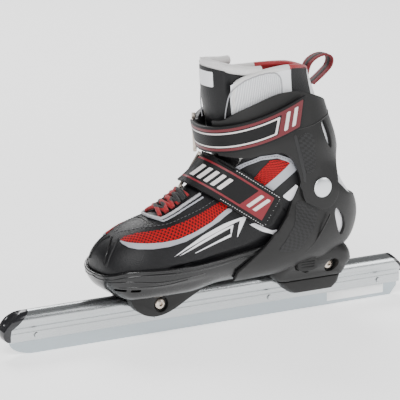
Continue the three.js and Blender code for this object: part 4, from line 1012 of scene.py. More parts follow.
shaft_panel("collar_side", [[3, 172], [0, 200], [-8, 222], [30, 245], [66, 245], [66, 172]], white_skin,
            0.35, smooth=False, slot="liner_white")
shaft_panel("collar_rib", [[5, 190], [5, 206], [8, 220], [18, 229.5], [32, 234.5], [46, 235], [53, 230],
                           [54.5, 219], [53, 200], [30, 190]],
            white_rib, 0.85, slot="liner_white")
shaft_panel("back_tab", [[66, 245], [66, 190], [92, 190], [90.5, 212], [88, 245]], black_hide, 0.9,
            smooth=False)
shaft_panel("back_white", [[88, 245], [91, 190], [150, 190], [150, 245]], white_skin, 0.4, smooth=False,
            slot="liner_white")
shaft_panel("heel_white", [[95, 185], [93, 150], [104, 128], [100, 104], [112, 72], [160, 72], [160, 185]],
            white_skin, 0.3, smooth=False, slot="liner_white")
shaft_panel("cuff_window_pad", [[91, 188], [98, 192], [108, 181], [111, 166], [109, 156], [100, 160],
                                [94, 173]], white_skin, 3.8, 1.0,
            trim=False, slot="liner_white")
ARCH_TOP = [[8, 144.5], [13.5, 149.5], [20.1, 154], [32.1, 160.4], [47, 161.6], [60.3, 156.4],
            [68.8, 147.6]]
ARCH_LOW = [[67, 146], [58.2, 153.4], [47.1, 157.9], [33, 156.8], [22.4, 151.6], [15.4, 146.8],
            [10.4, 142.4]]
shaft_panel("ankle_arch", ARCH_TOP + ARCH_LOW, silver_hide, 0.9, smooth=False, trim=False, cell=1.0)
shaft_panel("ankle_net", [[41, 156.2], [52, 156], [61.9, 152], [48, 141], [33, 129.5], [26.5, 137.5],
                          [33, 146]], red_net, 0.55,
            smooth=False, trim=False)
shaft_panel("ankle_silver", [[61.5, 153.4], [69.5, 147.6], [60, 140], [51, 133], [42, 125.5], [35, 130.5],
                             [47.9, 141.1]], silver_hide, 0.8,
            smooth=False, trim=False)
shaft_panel("ankle_white", [[72, 136], [69, 131], [64, 120.3], [60.9, 116.1], [53, 121.6], [61, 127.5]],
            white_hide, 0.7, smooth=False, trim=False)

grey_piping = coated("grey_piping", (0.34, 0.34, 0.36), 1800.0, 0.0002)
for side, tag in SIDES:
    edge = traced([[5, 190], [5, 206], [8, 220], [18, 229.3], [32, 234.2], [46, 234.7], [53, 230],
                   [54.5, 219], [53, 205]], 0.9, side)
    if side > 0:
        edge = edge[edge[:, 2] < 229]
    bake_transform(tube(f"rib_piping_{tag}", edge, 0.6, grey_piping, None, slot="liner_white"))
    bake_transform(stitches(f"arch_stitches_{tag}", traced([[10, 144.5], [22, 152.6], [33, 158.2], [47, 159.4],
                                                      [58.5, 154.6], [66, 147.2]], 1.0, side),
                      dark_thread, slot="liner_black", length=1.2, gap=1.6))

# The rolled edge: foam in a soft knit, off-white at the front and sides and red at the back.


def open_edges(mesh):
    """Every run of a sheet's free edges, in order, in millimetres, the longest first."""
    work = bmesh.new()
    work.from_mesh(mesh)
    after = {}
    for e in work.edges:
        if len(e.link_faces) == 1:
            for v, w in (e.verts, reversed(e.verts)):
                after.setdefault(v.index, []).append(w.index)
    spots = [np.array(v.co) / MM for v in work.verts]
    work.free()
    runs, seen = [], set()
    for start in after:
        if start in seen:
            continue
        seen.add(start)
        run = [start]
        for grow_end in (True, False):
            here = start
            while True:
                onward = [v for v in after[here] if v not in seen]
                if not onward:
                    break
                here = onward[0]
                seen.add(here)
                run = run + [here] if grow_end else [here] + run
        runs.append(np.array([spots[v] for v in run]))
    return sorted(runs, key=len, reverse=True)


edge_loop = open_edges(rim_source)[0]
bpy.data.meshes.remove(rim_source)
upper = (edge_loop[:, 2] > 158) | ((edge_loop[:, 2] > 150) & (edge_loop[:, 0] < 12))
first_low = int(np.argmin(edge_loop[:, 2]))
edge_loop, upper = np.roll(edge_loop, -first_low, 0), np.roll(upper, -first_low)
rim = evened(edge_loop[upper])
inward = np.array([50.0, 0, 0]) - rim * np.array([1, 1, 0])
inward /= np.linalg.norm(inward, axis=1, keepdims=True)
rim = rim + inward * 1.9
is_red = rim[:, 0] > 62
red_run = rim[is_red]
splits = np.flatnonzero(is_red)
front_runs = [rim[:splits[0] + 1], rim[splits[-1]:]]
off_white_fuzz, tree, shader = material("off_white_fleece", sheen=0.6)
chart = put(tree, "ShaderNodeTexCoord", -1100)
nap = put(tree, "ShaderNodeTexNoise", -800, in_Scale=700.0, in_Detail=6.0, in_Roughness=0.75)
nap_color = put(tree, "ShaderNodeMix", -400, data_type="RGBA", in_A=(0.60, 0.59, 0.58, 1),
                in_B=(0.88, 0.87, 0.86, 1))
wire(tree, chart, "Object", nap, "Vector",
     nap, "Fac", nap_color, "Factor",
     nap_color, "Result", shader, "Base Color")
shader.inputs["Roughness"].default_value = 0.95
raised(tree, shader, nap.outputs["Fac"], 0.0012, 0.8)
red_knit = coated("red_edge_knit", (0.34, 0.005, 0.010), 1500.0, 0.0004, 0.2, sheen=0.3)
for tag, line in zip(("outer", "inner"), front_runs):
    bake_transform(tube(f"collar_roll_{tag}", line, 3.0, off_white_fuzz, None, slot="liner_white"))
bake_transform(tube("collar_roll_back", red_run, 3.1, red_knit, None, slot="liner_white"))

# ---- Tongue --------------------------------------------------------------------------------
# A long padded tongue under the laces and up the shin: black leather outside, with a thick
# off-white fleece pad that rolls over its top.


def tongue_half(s):
    return 14.2 + 10.9 * ease(s, 9.5, 17)


def keep_tongue(p, s, a):
    x, y, z = p[..., 0], p[..., 1], p[..., 2]
    flare = ease(z, 220, 231)
    level = np.minimum(tongue_half(s) + 6 * flare - np.abs(y), 23.5 + 13 * flare - x)
    return np.minimum(level, 248.2 - z - 0.012 * y * y - 0.008 * np.maximum(x, 0) ** 2)


def tongue_depth(s, a):
    p = form_point(s, a)
    return -1.6 - 0.8 * ease(s, 9, 14) - 3.4 * ease(np.abs(p[..., 1]), 21, 25.5) * ease(p[..., 2], 212, 222)


tongue = trimmed_sheet("tongue_pad", keep_tongue, tongue_depth, (4.9, 21.95),
                       (math.pi - 1.5, math.pi + 1.5), 1.8)
give_wall(tongue, 5.6, 1.6, 4, 60)
add_modifier(tongue, "SMOOTH", factor=0.5, iterations=4)
fit(tongue, off_white_fuzz, None, "liner_white", ["tongue_upper", "tongue_lower"])
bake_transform(tongue)


def keep_face(p, s, a):
    x, y, z = p[..., 0], p[..., 1], p[..., 2]
    window = np.minimum(np.minimum(12 - np.abs(y), 236.5 - z), z - 222.5)
    level = np.minimum(keep_tongue(p, s, a) - 0.6, 240.2 - z - 0.005 * y * y)
    return np.minimum(np.minimum(level, 26.5 - x), -window)


face = trimmed_sheet("tongue_leather", keep_face, lambda s, a: tongue_depth(s, a) + 0.8, (4.9, 21.9),
                     (math.pi - 1.5, math.pi + 1.5), 1.5)
give_wall(face, 1.0, 0)
fit(face, black_hide, None, "liner_black")
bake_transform(face)
window = trimmed_sheet("tongue_window", lambda p, s, a: np.minimum(np.minimum(12.4 - np.abs(p[..., 1]),
    236.9 - p[..., 2]),
                                                                  p[..., 2] - 222.1),
                      -1.7, (19, 21.9), (math.pi - 1.2, math.pi + 1.2), 1.4)
give_wall(window, 0.6, 0)
fit(window, white_skin, None, "liner_white")
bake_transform(window)
roll = []
for y in np.linspace(-29, 29, 34):
    top = 243.2 - 0.008 * y * y
    best = min(((abs(p[1] - y) + abs(p[2] - top), tuple(p)) for s in np.arange(20.5, 22, 0.08)
                for p in [form_grown(np.array(s), np.array(math.pi + t), -5.0) for t in np.arange(-1.5,
                    1.51, 0.06)]),
               key=lambda item: item[0])
    roll.append(best[1])
roll = evened(np.array(roll), 3.0, 8)
top_roll = tube("tongue_top_roll", roll, 4.3, off_white_fuzz, None, slot="liner_white")
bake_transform(top_roll)

# ---- Lace ----------------------------------------------------------------------------------
# A round woven lace in red and black, crossed five times over the tongue, and drawn up in black
# behind the straps.
lace_weave, tree, shader = material("lace_weave", sheen=0.2)
chart = put(tree, "ShaderNodeTexCoord", -1300)
flecks = put(tree, "ShaderNodeTexVoronoi", -1000, in_Scale=95.0)
fleck_mask = put(tree, "ShaderNodeMath", -500, operation="GREATER_THAN", in_1=0.52)
split = put(tree, "ShaderNodeSeparateColor", -750)
fleck = put(tree, "ShaderNodeMix", -300, data_type="RGBA", in_A=(0.34, 0.004, 0.008, 1),
            in_B=(0.012, 0.011, 0.012, 1))
thread = put(tree, "ShaderNodeTexNoise", -800, -300, in_Scale=1200.0, in_Detail=2.0)
wire(tree, chart, "Object", flecks, "Vector",
     chart, "Object", thread, "Vector",
     flecks, "Color", split, "Color",
     split, "Red", fleck_mask, 0,
     fleck_mask, "Value", fleck, "Factor",
     fleck, "Result", shader, "Base Color")
shader.inputs["Roughness"].default_value = 0.75
raised(tree, shader, thread.outputs["Fac"], 0.0008, 0.8)


def lace_run(s0, s1, reach, lift, sign):
    line = []
    for t in np.linspace(-1, 1, 15):
        s = s0 + (s1 - s0) * (t + 1) / 2
        bow = lift + 1.6 * (1 - t * t)
        line.append(form_grown(np.array(s), np.array(math.pi + sign * t * reach), bow))
    return np.array(line)


crossings = []
for k in range(5):
    s0 = 5.55 + 0.42 * k
    crossings.append(lace_run(s0, s0 + 0.4, 0.34, 0.6, 1))
    crossings.append(lace_run(s0, s0 + 0.4, 0.34, 1.4, -1))
laces = tube("lace_crossings", crossings, 2.0, lace_weave, None, slot="lace_red", replaces=["lace"])
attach(laces, "root")
upper_runs = [lace_run(s, s + 0.5, 0.34, -0.6, sign) for s in (9.6, 11.6, 13.4) for sign in (1, -1)]
tube("lace_upper", upper_runs, 1.4, seam_black, "root", slot="lace_red")

# ---- Pull loop -----------------------------------------------------------------------------
# A folded webbing loop sewn into the back of the collar, red with a black middle.
web_group, g_in, g_out = effect_group("webbing", [("Pitch", "Float", 1.0)],
                                      [("Height", "Float"), ("Shade", "Float")])
chart = put(web_group, "ShaderNodeTexCoord", -900, 300)
over = put(web_group, "ShaderNodeTexWave", -500, 300, bands_direction="X")
under = put(web_group, "ShaderNodeTexWave", -500, 0, bands_direction="Z")
product = put(web_group, "ShaderNodeMath", 0, 100, operation="MULTIPLY")
for wave in (over, under):
    wire(web_group, chart, "Object", wave, "Vector",
         g_in, "Pitch", wave, "Scale")
    wave.inputs["Distortion"].default_value = 0.5
wire(web_group, over, "Fac", product, 0,
     under, "Fac", product, 1,
     product, "Value", g_out, "Height",
     product, "Value", g_out, "Shade")


def webbing(name, color, pitch=320.0, rough=0.62, depth=0.0003, vary=0.35, **kind):
    made, tree, shader = material(name, **kind)
    weave = put(tree, "ShaderNodeGroup", -600, node_tree=web_group, in_Pitch=pitch)
    shade = put(tree, "ShaderNodeMix", -300, data_type="RGBA", in_A=rgb(color, 1 - vary),
                in_B=rgb(color, 1 + vary))
    wire(tree, weave, "Shade", shade, "Factor",
         shade, "Result", shader, "Base Color")
    shader.inputs["Roughness"].default_value = rough
    raised(tree, shader, weave.outputs["Height"], depth, 0.7)
    return made


loop_red = webbing("loop_red", (0.17, 0.004, 0.009), 420.0)
loop_black = webbing("loop_black", (0.014, 0.013, 0.014), 420.0)
LOOP_LINE = rounded([[100, 221], [103.4, 232], [111.4, 238], [121, 239.4], [127, 235.6], [125.8, 228.4],
                     [117.6, 221], [107, 213.5]],
                    closed=False, steps=7)


def loop_band(name, half, wall, shift, finish, **rest):
    across = np.array([-half, half])
    direction = np.gradient(LOOP_LINE, axis=0)
    out = np.stack([-direction[:, 1], direction[:, 0]], -1)
    out /= np.linalg.norm(out, axis=1, keepdims=True)
    line = LOOP_LINE + out * shift
    points = [(x, y, z) for x, z in line for y in across]
    faces = [[2 * i, 2 * i + 1, 2 * i + 3, 2 * i + 2] for i in range(len(line) - 1)]
    mesh = bpy.data.meshes.new(name)
    mesh.from_pydata([tuple(c * MM for c in p) for p in points], [], faces)
    piece = placed(name, mesh)
    add_modifier(piece, "SOLIDIFY", thickness=wall * MM, offset=0)
    soften(piece, 0.3, 2, 60)
    smooth_over(piece, 45)
    return fit(piece, finish, "cuff", "lace_red", **rest)


loop_band("pull_loop_web", 6.2, 1.7, 0, loop_red, replaces=["pull_loop"])
loop_band("pull_loop_core", 1.9, 2.3, 0, loop_black)

# ---- Cuff strap ----------------------------------------------------------------------------
# A hook-and-loop strap with a smooth printed face: dark red and white lines along black, and a
# red field with two slanted bars at its slanted end. It runs round the shin through a ring on
# the inner side and folds back on itself.
strap_black = webbing("strap_black", (0.005, 0.005, 0.0055), 500.0, 0.5, 0.00012, 0.2, specular=0.25)
strap_red = webbing("strap_red", (0.13, 0.006, 0.012), 700.0, 0.42, 0.00008, 0.12)
strap_white = webbing("strap_white", (0.74, 0.70, 0.69), 700.0, 0.45, 0.00008, 0.05)
hook_pile = webbing("hook_pile", (0.02, 0.02, 0.021), 900.0, 0.9, 0.0005, 0.3)
CUFF_LAYER, STRAP_THICK, STRAP_GAP = 7.75, 2.1, 0.35
STRAP_WIDTH = 26


def strap_foot(x):
    return 161 + 0.27 * np.maximum(x + 14, 0) + 0.00066 * np.maximum(x, 0) ** 2


def strap_across(p):
    return (p[..., 2] - strap_foot(p[..., 0])) / STRAP_WIDTH


def far_limit(p, far):
    return np.minimum(far - p[..., 1], np.where((p[..., 1] > 0) & (p[..., 0] > 10), -99, 99))


def keep_strap(p, s, a, inset=0.0, end=66.0, far=20.0):
    v = strap_across(p)
    side = np.minimum(v * STRAP_WIDTH, (1 - v) * STRAP_WIDTH) - inset
    tip = end + 8 * v - p[..., 0] - inset
    return np.minimum(np.minimum(side, tip), far_limit(p, far))


FRONT_RUN = (-math.pi - 1.1, -0.55)
tail_out = CUFF_LAYER + 2 * STRAP_THICK + STRAP_GAP
tail = trimmed_sheet("cuff_strap", keep_strap, tail_out - 0.25, (13, 21.9), FRONT_RUN, 1.3)
give_wall(tail, STRAP_THICK - 0.25, 0.5)
fit(tail, strap_black, "cuff_strap", "strap_web", ["cuff_strap_tail"])
base = trimmed_sheet("cuff_strap_under", lambda p, s, a: keep_strap(p, s, a, 1.0, 44.0),
                     CUFF_LAYER + STRAP_THICK, (13, 21.9), FRONT_RUN, 1.8)
give_wall(base, STRAP_THICK, 0.4)
fit(base, hook_pile, "cuff", "strap_web", ["cuff_strap_base"])
keeper = trimmed_sheet("cuff_strap_keeper", lambda p, s, a: np.minimum(np.minimum(
    np.minimum(strap_across(p) * STRAP_WIDTH - 2, (1 - strap_across(p)) * STRAP_WIDTH - 2),
    p[..., 1] - 29.4), 26 - p[..., 0]),
    CUFF_LAYER + STRAP_THICK, (13, 21.9), (math.pi - 1.9, math.pi - 0.2), 1.6)
give_wall(keeper, STRAP_THICK, 0.4)
fit(keeper, strap_black, "cuff", "strap_web", ["cuff_ring_keeper"])


def between(v, low, high, width=STRAP_WIDTH):
    return np.minimum(v - low, high - v) * width


def strap_print(p):
    """Signed fields of the red and the white printing on the cuff strap."""
    v, x = strap_across(p), p[..., 0]
    slant = x - 7.5 * v
    red = np.maximum(between(v, 0.075, 0.175), between(v, 0.80, 0.90))
    red = np.maximum(red, np.minimum(between(v, 0.075, 0.90), slant - 40.5))
    red = np.minimum(red, 64 - slant)
    white = np.maximum(between(v, 0.205, 0.262), between(v, 0.70, 0.757))
    white = np.minimum(white, 39 - slant)
    white = np.maximum(white, np.minimum(between(v, 0.205, 0.757), np.minimum(slant - 36.8, 39.2 - slant)))
    for start in (46, 54.5):
        white = np.maximum(white, np.minimum(between(v, 0.20, 0.78),
                                             np.minimum(slant - start, start + 4 - slant)))
    limit = far_limit(p, 19.5)
    return np.minimum(red, limit), np.minimum(white, limit)


for tag, pick, lift, finish in (("red", 0, 0.02, strap_red), ("white", 1, 0.14, strap_white)):
    printed = trimmed_sheet(f"cuff_strap_{tag}_print", lambda p, s, a: strap_print(p)[pick],
                            tail_out - 0.22 + lift, (13, 21.9), FRONT_RUN, 0.75)
    give_wall(printed, 0.2, 0)
    fit(printed, finish, "cuff_strap", "strap_web")

# ---- Instep strap --------------------------------------------------------------------------
# The second strap crosses the instep on the slant, with a rounded end. Its print is a red line
# along each edge, five slanted white bars, and a red field with two more at the end.
TOP_SPOT, NEAR_SPOT = np.array([-13.0, 6, 147]), np.array([44.0, -46, 107])
run_way = (NEAR_SPOT - TOP_SPOT) / np.linalg.norm(NEAR_SPOT - TOP_SPOT)
across_way = np.cross(run_way, [-0.78, -0.28, 0.56])
across_way /= np.linalg.norm(across_way)
if across_way[2] < 0:
    across_way = -across_way
INSTEP_WIDTH, INSTEP_LENGTH, INSTEP_FAR = 33, 84, 10


def instep_floor(s, a):
    turn = np.abs(np.mod(a + math.pi, 2 * math.pi) - math.pi)
    return 0.5 + 3.45 * ease(turn, 2.1, 2.6)


def instep_place(p):
    along = (p - TOP_SPOT) @ run_way
    v = ((p - NEAR_SPOT) @ across_way) / INSTEP_WIDTH + 0.5
    return along, v


def keep_instep(p, s, a, width=INSTEP_WIDTH, length=INSTEP_LENGTH, corner=9.0, far=INSTEP_FAR):
    along, v = instep_place(p)
    half = width / 2
    y = np.abs((v - 0.5) * INSTEP_WIDTH)
    end = length - along
    round_end = corner - np.hypot(np.maximum(corner - end, 0), np.maximum(y - (half - corner), 0))
    body = np.minimum(half - y, end)
    level = np.where((end < corner) & (y > half - corner), round_end, body)
    level = np.minimum(level, far - p[..., 1])
    return np.where(p[..., 2] > 60, level, -9)


INSTEP_REACH = (-math.pi - 0.7, -0.5)


def tail_top(s, a):
    return instep_floor(s, a) + 2 * STRAP_THICK + STRAP_GAP - 0.25


instep = trimmed_sheet("instep_strap", keep_instep, tail_top, (4, 17), INSTEP_REACH, 1.3)
give_wall(instep, STRAP_THICK - 0.25, 0.5)
fit(instep, strap_black, "instep_strap", "strap_web", ["instep_strap_tail"])
instep_under = trimmed_sheet("instep_strap_under",
                             lambda p, s, a: keep_instep(p, s, a, INSTEP_WIDTH - 3, INSTEP_LENGTH + 4),
                             lambda s, a: instep_floor(s, a) + STRAP_THICK, (4, 17), INSTEP_REACH, 1.8)
give_wall(instep_under, STRAP_THICK, 0.4)
fit(instep_under, hook_pile, "root", "strap_web", ["instep_strap_base"])
instep_keeper = trimmed_sheet("instep_strap_keeper", lambda p, s, a: np.minimum(np.minimum(
    (INSTEP_WIDTH - 8) / 2 - np.abs((instep_place(p)[1] - 0.5) * INSTEP_WIDTH),
    np.minimum(p[..., 1] - 20, 38 - p[..., 1])),
    60 - p[..., 0]), lambda s, a: instep_floor(s, a) + STRAP_THICK, (4, 17), (math.pi - 1.9, math.pi - 0.1),
    1.6)
give_wall(instep_keeper, STRAP_THICK, 0.4)
fit(instep_keeper, strap_black, "root", "strap_web", ["instep_ring_keeper"])


def instep_print(p):
    along, v = instep_place(p)
    wide = INSTEP_WIDTH
    red = np.maximum(between(v, 0.15, 0.205, wide), between(v, 0.80, 0.855, wide))
    slant = along - 15 * (v - 0.5)
    red = np.maximum(red, np.minimum(between(v, 0.15, 0.855, wide), slant - 58))
    red = np.minimum(red, 77.5 - along)
    white = np.full(v.shape, -9.0)
    for start in (4, 11, 18, 25, 32):
        white = np.maximum(white, np.minimum(between(v, 0.27, 0.68, wide),
                                             np.minimum(slant - start, start + 4 - slant)))
    for start in (62.5, 69):
        white = np.maximum(white, np.minimum(between(v, 0.27, 0.74, wide),
                                             np.minimum(slant - start, start + 3.4 - slant)))
    limit = INSTEP_FAR - 0.5 - p[..., 1]
    return np.minimum(red, limit), np.minimum(white, limit)


def instep_stitches(p):
    along, v = instep_place(p)
    half = INSTEP_WIDTH / 2
    edge = np.minimum(half - np.abs((v - 0.5) * INSTEP_WIDTH), INSTEP_LENGTH - along)
    dash = 0.7 - np.abs(np.mod(along, 2.4) - 1.2)
    end_dash = 0.7 - np.abs(np.mod(v * INSTEP_WIDTH, 2.4) - 1.2)
    run = np.where(INSTEP_LENGTH - along < half - np.abs((v - 0.5) * INSTEP_WIDTH), end_dash, dash)
    return np.minimum(np.minimum(np.minimum(0.26 - np.abs(edge - 1.9), run), along - 36),
                      INSTEP_FAR - 1 - p[..., 1])


instep_red = webbing("instep_red", (0.20, 0.006, 0.014), 700.0, 0.42, 0.00008, 0.12)
for tag, pick, lift, finish in (("red", 0, 0.02, instep_red), ("white", 1, 0.14, strap_white)):
    printed = trimmed_sheet(f"instep_strap_{tag}_print",
                            lambda p, s, a: np.where(p[..., 2] > 60, instep_print(p)[pick], -9),
                            lambda s, a: tail_top(s, a) + 0.03 + lift, (4, 17), INSTEP_REACH, 0.75)
    give_wall(printed, 0.2, 0)
    fit(printed, finish, "instep_strap", "strap_web")

threads = trimmed_sheet("instep_strap_stitches",
                        lambda p, s, a: np.where(p[..., 2] > 60, instep_stitches(p), -9),
                        lambda s, a: tail_top(s, a) + 0.16, (4, 17), (-2.6, -0.7), 0.42)
give_wall(threads, 0.2, 0)
fit(threads, white_thread, "instep_strap", "strap_web")

# ---- Blade unit ----------------------------------------------------------------------------
# A hardened steel runner held in the slot of an extruded aluminium tube by four rivets, with a
# black plug in each end of the tube.
brush_group, g_in, g_out = effect_group(
    "drawn_metal", [("Fine", "Float", 60.0), ("Polished", "Float", 0.2), ("Dull", "Float", 0.4)],
    [("Roughness", "Float"), ("Height", "Float"), ("Shade", "Float")])
chart = put(brush_group, "ShaderNodeTexCoord", -1100, 300)
pull = put(brush_group, "ShaderNodeMapping", -900, 300, in_Scale=(1.5, 60.0, 60.0))
lines = put(brush_group, "ShaderNodeTexNoise", -500, 200, in_Detail=3.0)
shine = put(brush_group, "ShaderNodeMapRange", 0, 0)
wire(brush_group, chart, "Object", pull, "Vector",
     pull, "Vector", lines, "Vector",
     g_in, "Fine", lines, "Scale",
     lines, "Fac", shine, "Value",
     g_in, "Polished", shine, "To Min",
     g_in, "Dull", shine, "To Max",
     shine, "Result", g_out, "Roughness",
     lines, "Fac", g_out, "Height",
     lines, "Fac", g_out, "Shade")


def drawn(name, color, polished, dull, fine=8.0, depth=0.00004, vary=0.05, **kind):
    made, tree, shader = material(name, metallic=1.0, **kind)
    lines = put(tree, "ShaderNodeGroup", -600, node_tree=brush_group, in_Fine=fine, in_Polished=polished,
                in_Dull=dull)
    shade = put(tree, "ShaderNodeMix", -300, data_type="RGBA", in_A=rgb(color, 1 - vary),
                in_B=rgb(color, 1 + vary))
    wire(tree, lines, "Shade", shade, "Factor",
         shade, "Result", shader, "Base Color",
         lines, "Roughness", shader, "Roughness")
    raised(tree, shader, lines.outputs["Height"], depth, 0.5)
    return made


steel = drawn("ground_steel", (0.40, 0.45, 0.48), 0.24, 0.38)
aluminium = drawn("drawn_aluminium", (0.50, 0.52, 0.53), 0.20, 0.34)
nickel = drawn("warm_nickel", (0.60, 0.53, 0.46), 0.25, 0.4, 20.0)
gloss_black = moulded("gloss_plug_black", (0.012, 0.012, 0.014), 0.10, 0.2, 700.0, 0.00003)
NECK, SKIRT = 4.0, 12.6
TUBE_FRONT, TUBE_REAR = -203, 206
FRONT_BOLT_X, FRONT_BOLT_Z = -61, 32


def tube_profile():
    """Half of the tube's outside, from its top down the outer side to the skirt's edge."""
    line = [(TUBE_RADIUS * math.sin(t), TUBE_Z + TUBE_RADIUS * math.cos(t)) for t in np.linspace(0,
        math.radians(128), 22)]
    line += [(6.0, 25.9), (5.0, 25.1), (4.3, 24.2), (NECK, 23.2), (NECK, 21.6), (NECK - 0.5, 21.3),
             (NECK - 0.5, 20.7),
             (NECK, 20.4), (NECK, SKIRT + 0.4), (NECK - 0.4, SKIRT), (1.1, SKIRT), (1.1, 20.8)]
    return line


right = tube_profile()
section = right + [(-y, z) for y, z in reversed(right[1:])]
blade_tube = long_block("tube_body", section, TUBE_FRONT, TUBE_REAR)
TUBE_TOP = TUBE_Z + TUBE_RADIUS
carve(blade_tube, side_block("front_slant", [(TUBE_FRONT, TUBE_Z - 7), (-184, TUBE_TOP + 1), (-184, 60),
                                             (-230, 60), (-230, TUBE_Z - 7)], -20, 20))
carve(blade_tube, side_block("rear_slant", [(TUBE_REAR, 26), (192, TUBE_TOP + 1), (192, 60), (230, 60),
                                            (230, 26)], -20, 20))


def long_rod(radius):
    """A round bar along the tube's axis."""
    bar = cross_rod(0, TUBE_Z, radius, -500, 500)
    bar.data.transform(Matrix.Translation((0, 0, TUBE_Z * MM)) @ Matrix.Rotation(math.pi / 2, 4, "Z")
                       @ Matrix.Translation((0, 0, -TUBE_Z * MM)))
    return bar


carve(blade_tube, long_rod(6.9))
for x in (-177.6, -57.6, 62.4, 182.4):
    carve(blade_tube, cross_rod(x, 17, 1.85, -20, 20, 24))
carve(blade_tube, cross_rod(FRONT_BOLT_X, FRONT_BOLT_Z, 3.35, -20, 20, 24))
soften(blade_tube, 0.18, 1, 60)
smooth_over(blade_tube, 30)
fit(blade_tube, aluminium, "root", "tube_aluminium", ["blade_tube"])

finishes = {
    "blade_runner": steel, "rear_cup": aluminium, "size_rack": aluminium, "button_spring": steel,
    "rear_tube_plug": gloss_black, "front_nut": nickel, "rear_nut": nickel, "cuff_ring": nickel,
    "instep_ring": nickel,
    "runner_rivet_1": aluminium, "runner_rivet_2": aluminium, "runner_rivet_3": aluminium,
    "runner_rivet_4": aluminium,
}
for node, finish in finishes.items():
    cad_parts[node].data.materials.clear()
    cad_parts[node].data.materials.append(finish)

# The front plug is a glossy slanted cap with a shallow oval recess.
plug_outline = [(-203.2, 13.2), (-203.2, 24.7), (-184.2, 41.4), (-189, 41.4), (-196, 38.6), (-202.5, 34.2),
                (-207.6, 29), (-210.3, 24), (-210.6, 20), (-208.8, 16.2), (-206, 13.6)]
half_round = [(TUBE_RADIUS * math.sin(t), TUBE_Z + TUBE_RADIUS * math.cos(t)) for t in np.linspace(0,
    math.radians(118), 22)]
half_round += [(6.4, 25), (5.2, 21.5), (4.3, 17), (3.4, 13.4)]
round_section = half_round + [(-y, z) for y, z in reversed(half_round[1:])]
front_plug = long_block("front_plug", round_section, -214, -180)
carve(front_plug, side_block("plug_shape", plug_outline, -30, 30), "INTERSECT")
soften(front_plug, 0.7, 3, 35)
bpy.ops.object.select_all(action="DESELECT")
bpy.ops.mesh.primitive_uv_sphere_add(segments=32, ring_count=16, radius=1)
dimple = bpy.context.object
slope = math.atan2(16.7, 19.0)
dimple.data.transform(Matrix.Translation((-203 * MM, 0, 34.4 * MM)) @ Matrix.Rotation(-slope, 4, "Y")
                      @ Matrix.Diagonal((8.6 * MM, 5.4 * MM, 2.2 * MM, 1)))
carve(front_plug, dimple)
smooth_over(front_plug, 35)
fit(front_plug, gloss_black, "root", "plug_plastic", ["front_tube_plug"])

# A blank paper label stuck low on the runner near the heel.
paper = moulded("label_paper", (0.92, 0.93, 0.93), 0.55, 0.65, 1500.0, 0.00003, 0.03)
label = side_block("blank_label", [(127, 3.2), (190, 3.2), (190, 11.6), (127, 11.6)], -0.95, -0.82)
add_modifier(label, "BEVEL", width=0.05 * MM, segments=1)
fit(label, paper, "root", "tube_aluminium")

# ---- Base plate and lugs -------------------------------------------------------------------
# The moulded sole plate that joins the boot to the tube. A half-moon lug reaches down each side
# of the tube at the front, and the front bolt crosses them in a round recess.
LUG = rounded([[-92, 43.5], [-90.5, 37], [-86, 30], [-78, 24.3], [-68, 21.6], [-57, 22.6], [-46, 26.6],
               [-34, 33], [-24, 38], [-13, 43.5]], closed=False, steps=6)
plate = side_block("sole_plate", [(-92, 41), (92, 41), (92, 43.5), (-92, 43.5)], -9, 9)
flange = side_block("sole_flange", [(-92, 40.6), (-13, 40.6), (-13, 43.5), (-92, 43.5)], -20.6, 20.6)
carve(plate, flange, "UNION")
for side in (-1, 1):
    ends = sorted((side * 9.2, side * 20))
    carve(plate, side_block("lug", LUG.tolist(), *ends), "UNION")
for side in (-1, 1):
    carve(plate, cross_rod(FRONT_BOLT_X, FRONT_BOLT_Z, 7.2, side * 30, side * 16.1))
carve(plate, cross_rod(FRONT_BOLT_X, FRONT_BOLT_Z, 3.35, -30, 30))
carve(plate, long_rod(8.85))
soften(plate, 0.6, 2, 50)
smooth_over(plate, 35)
fit(plate, shell_grey, "root", "shell_plastic", ["base_plate"])

# ---- Bolts ---------------------------------------------------------------------------------
# Two button-head screws in warm nickel, each with a hexagon socket, and a nut on the far side.


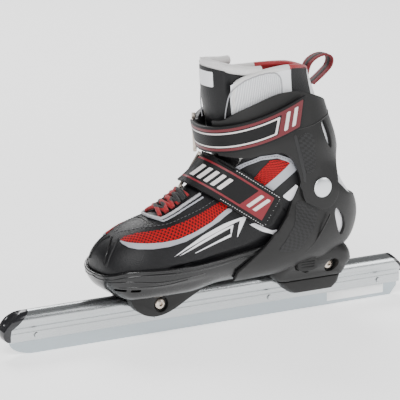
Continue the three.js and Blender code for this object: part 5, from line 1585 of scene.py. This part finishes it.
def button_screw(name, x, z, head_y, node):
    shank = cross_rod(x, z, 3, head_y - 0.1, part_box(node)[1].y / MM, 32)
    shank.name = name
    bpy.ops.object.select_all(action="DESELECT")
    bpy.ops.mesh.primitive_uv_sphere_add(segments=48, ring_count=24, radius=1)
    head = bpy.context.object
    for v in head.data.vertices:
        v.co.z = v.co.z ** 0.8 if v.co.z > 0 else -0.02
    head.data.transform(Matrix.Translation((x * MM, head_y * MM, z * MM)) @ Matrix.Rotation(math.pi / 2, 4,
        "X")
                        @ Matrix.Diagonal((5.6 * MM, 5.6 * MM, 3.1 * MM, 1)))
    carve(shank, head, "UNION")
    bpy.ops.object.select_all(action="DESELECT")
    bpy.ops.mesh.primitive_cylinder_add(vertices=6, radius=2.3 * MM, depth=4.4 * MM,
                                        location=(x * MM, (head_y - 3.1) * MM, z * MM),
                                        rotation=(math.pi / 2, 0, 0))
    bpy.ops.object.transform_apply(location=True, rotation=True, scale=True)
    carve(shank, bpy.context.object)
    smooth_over(shank, 35)
    return fit(shank, nickel, "root", "bolt_nickel", [node])


button_screw("front_screw", FRONT_BOLT_X, FRONT_BOLT_Z, -16.45, "front_bolt")
button_screw("rear_screw", BOLT_X, BOLT_Z, -19.9, "rear_bolt")

# ---- Size button ---------------------------------------------------------------------------
# A pressed-in button with a D-shaped face and ribs; its stem reaches in to the
# rack. The small tooth on the stem is out of sight and is left to the solid model.
button = side_block("size_button", button_outline(0), -34.5, -29.5)
for z in (50.6, 53.0, 55.4):
    carve(button, side_block("rib", [(BUTTON_X - 7, z - 0.45), (BUTTON_X + 7, z - 0.45),
                                     (BUTTON_X + 7, z + 0.45), (BUTTON_X - 7, z + 0.45)], -40, -33.7))
stem_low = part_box("size_lock_button")[0].z / MM
stem = side_block("stem", [(BUTTON_X - 1.5, stem_low), (BUTTON_X + 1.5, stem_low), (BUTTON_X + 1.5, 45.7),
                           (BUTTON_X - 1.5, 45.7)], -34, -10.6)
carve(button, stem, "UNION")
soften(button, 0.5, 2, 50)
smooth_over(button, 35)
fit(button, shell_grey, "size_button", "shell_plastic", ["size_lock_button"])
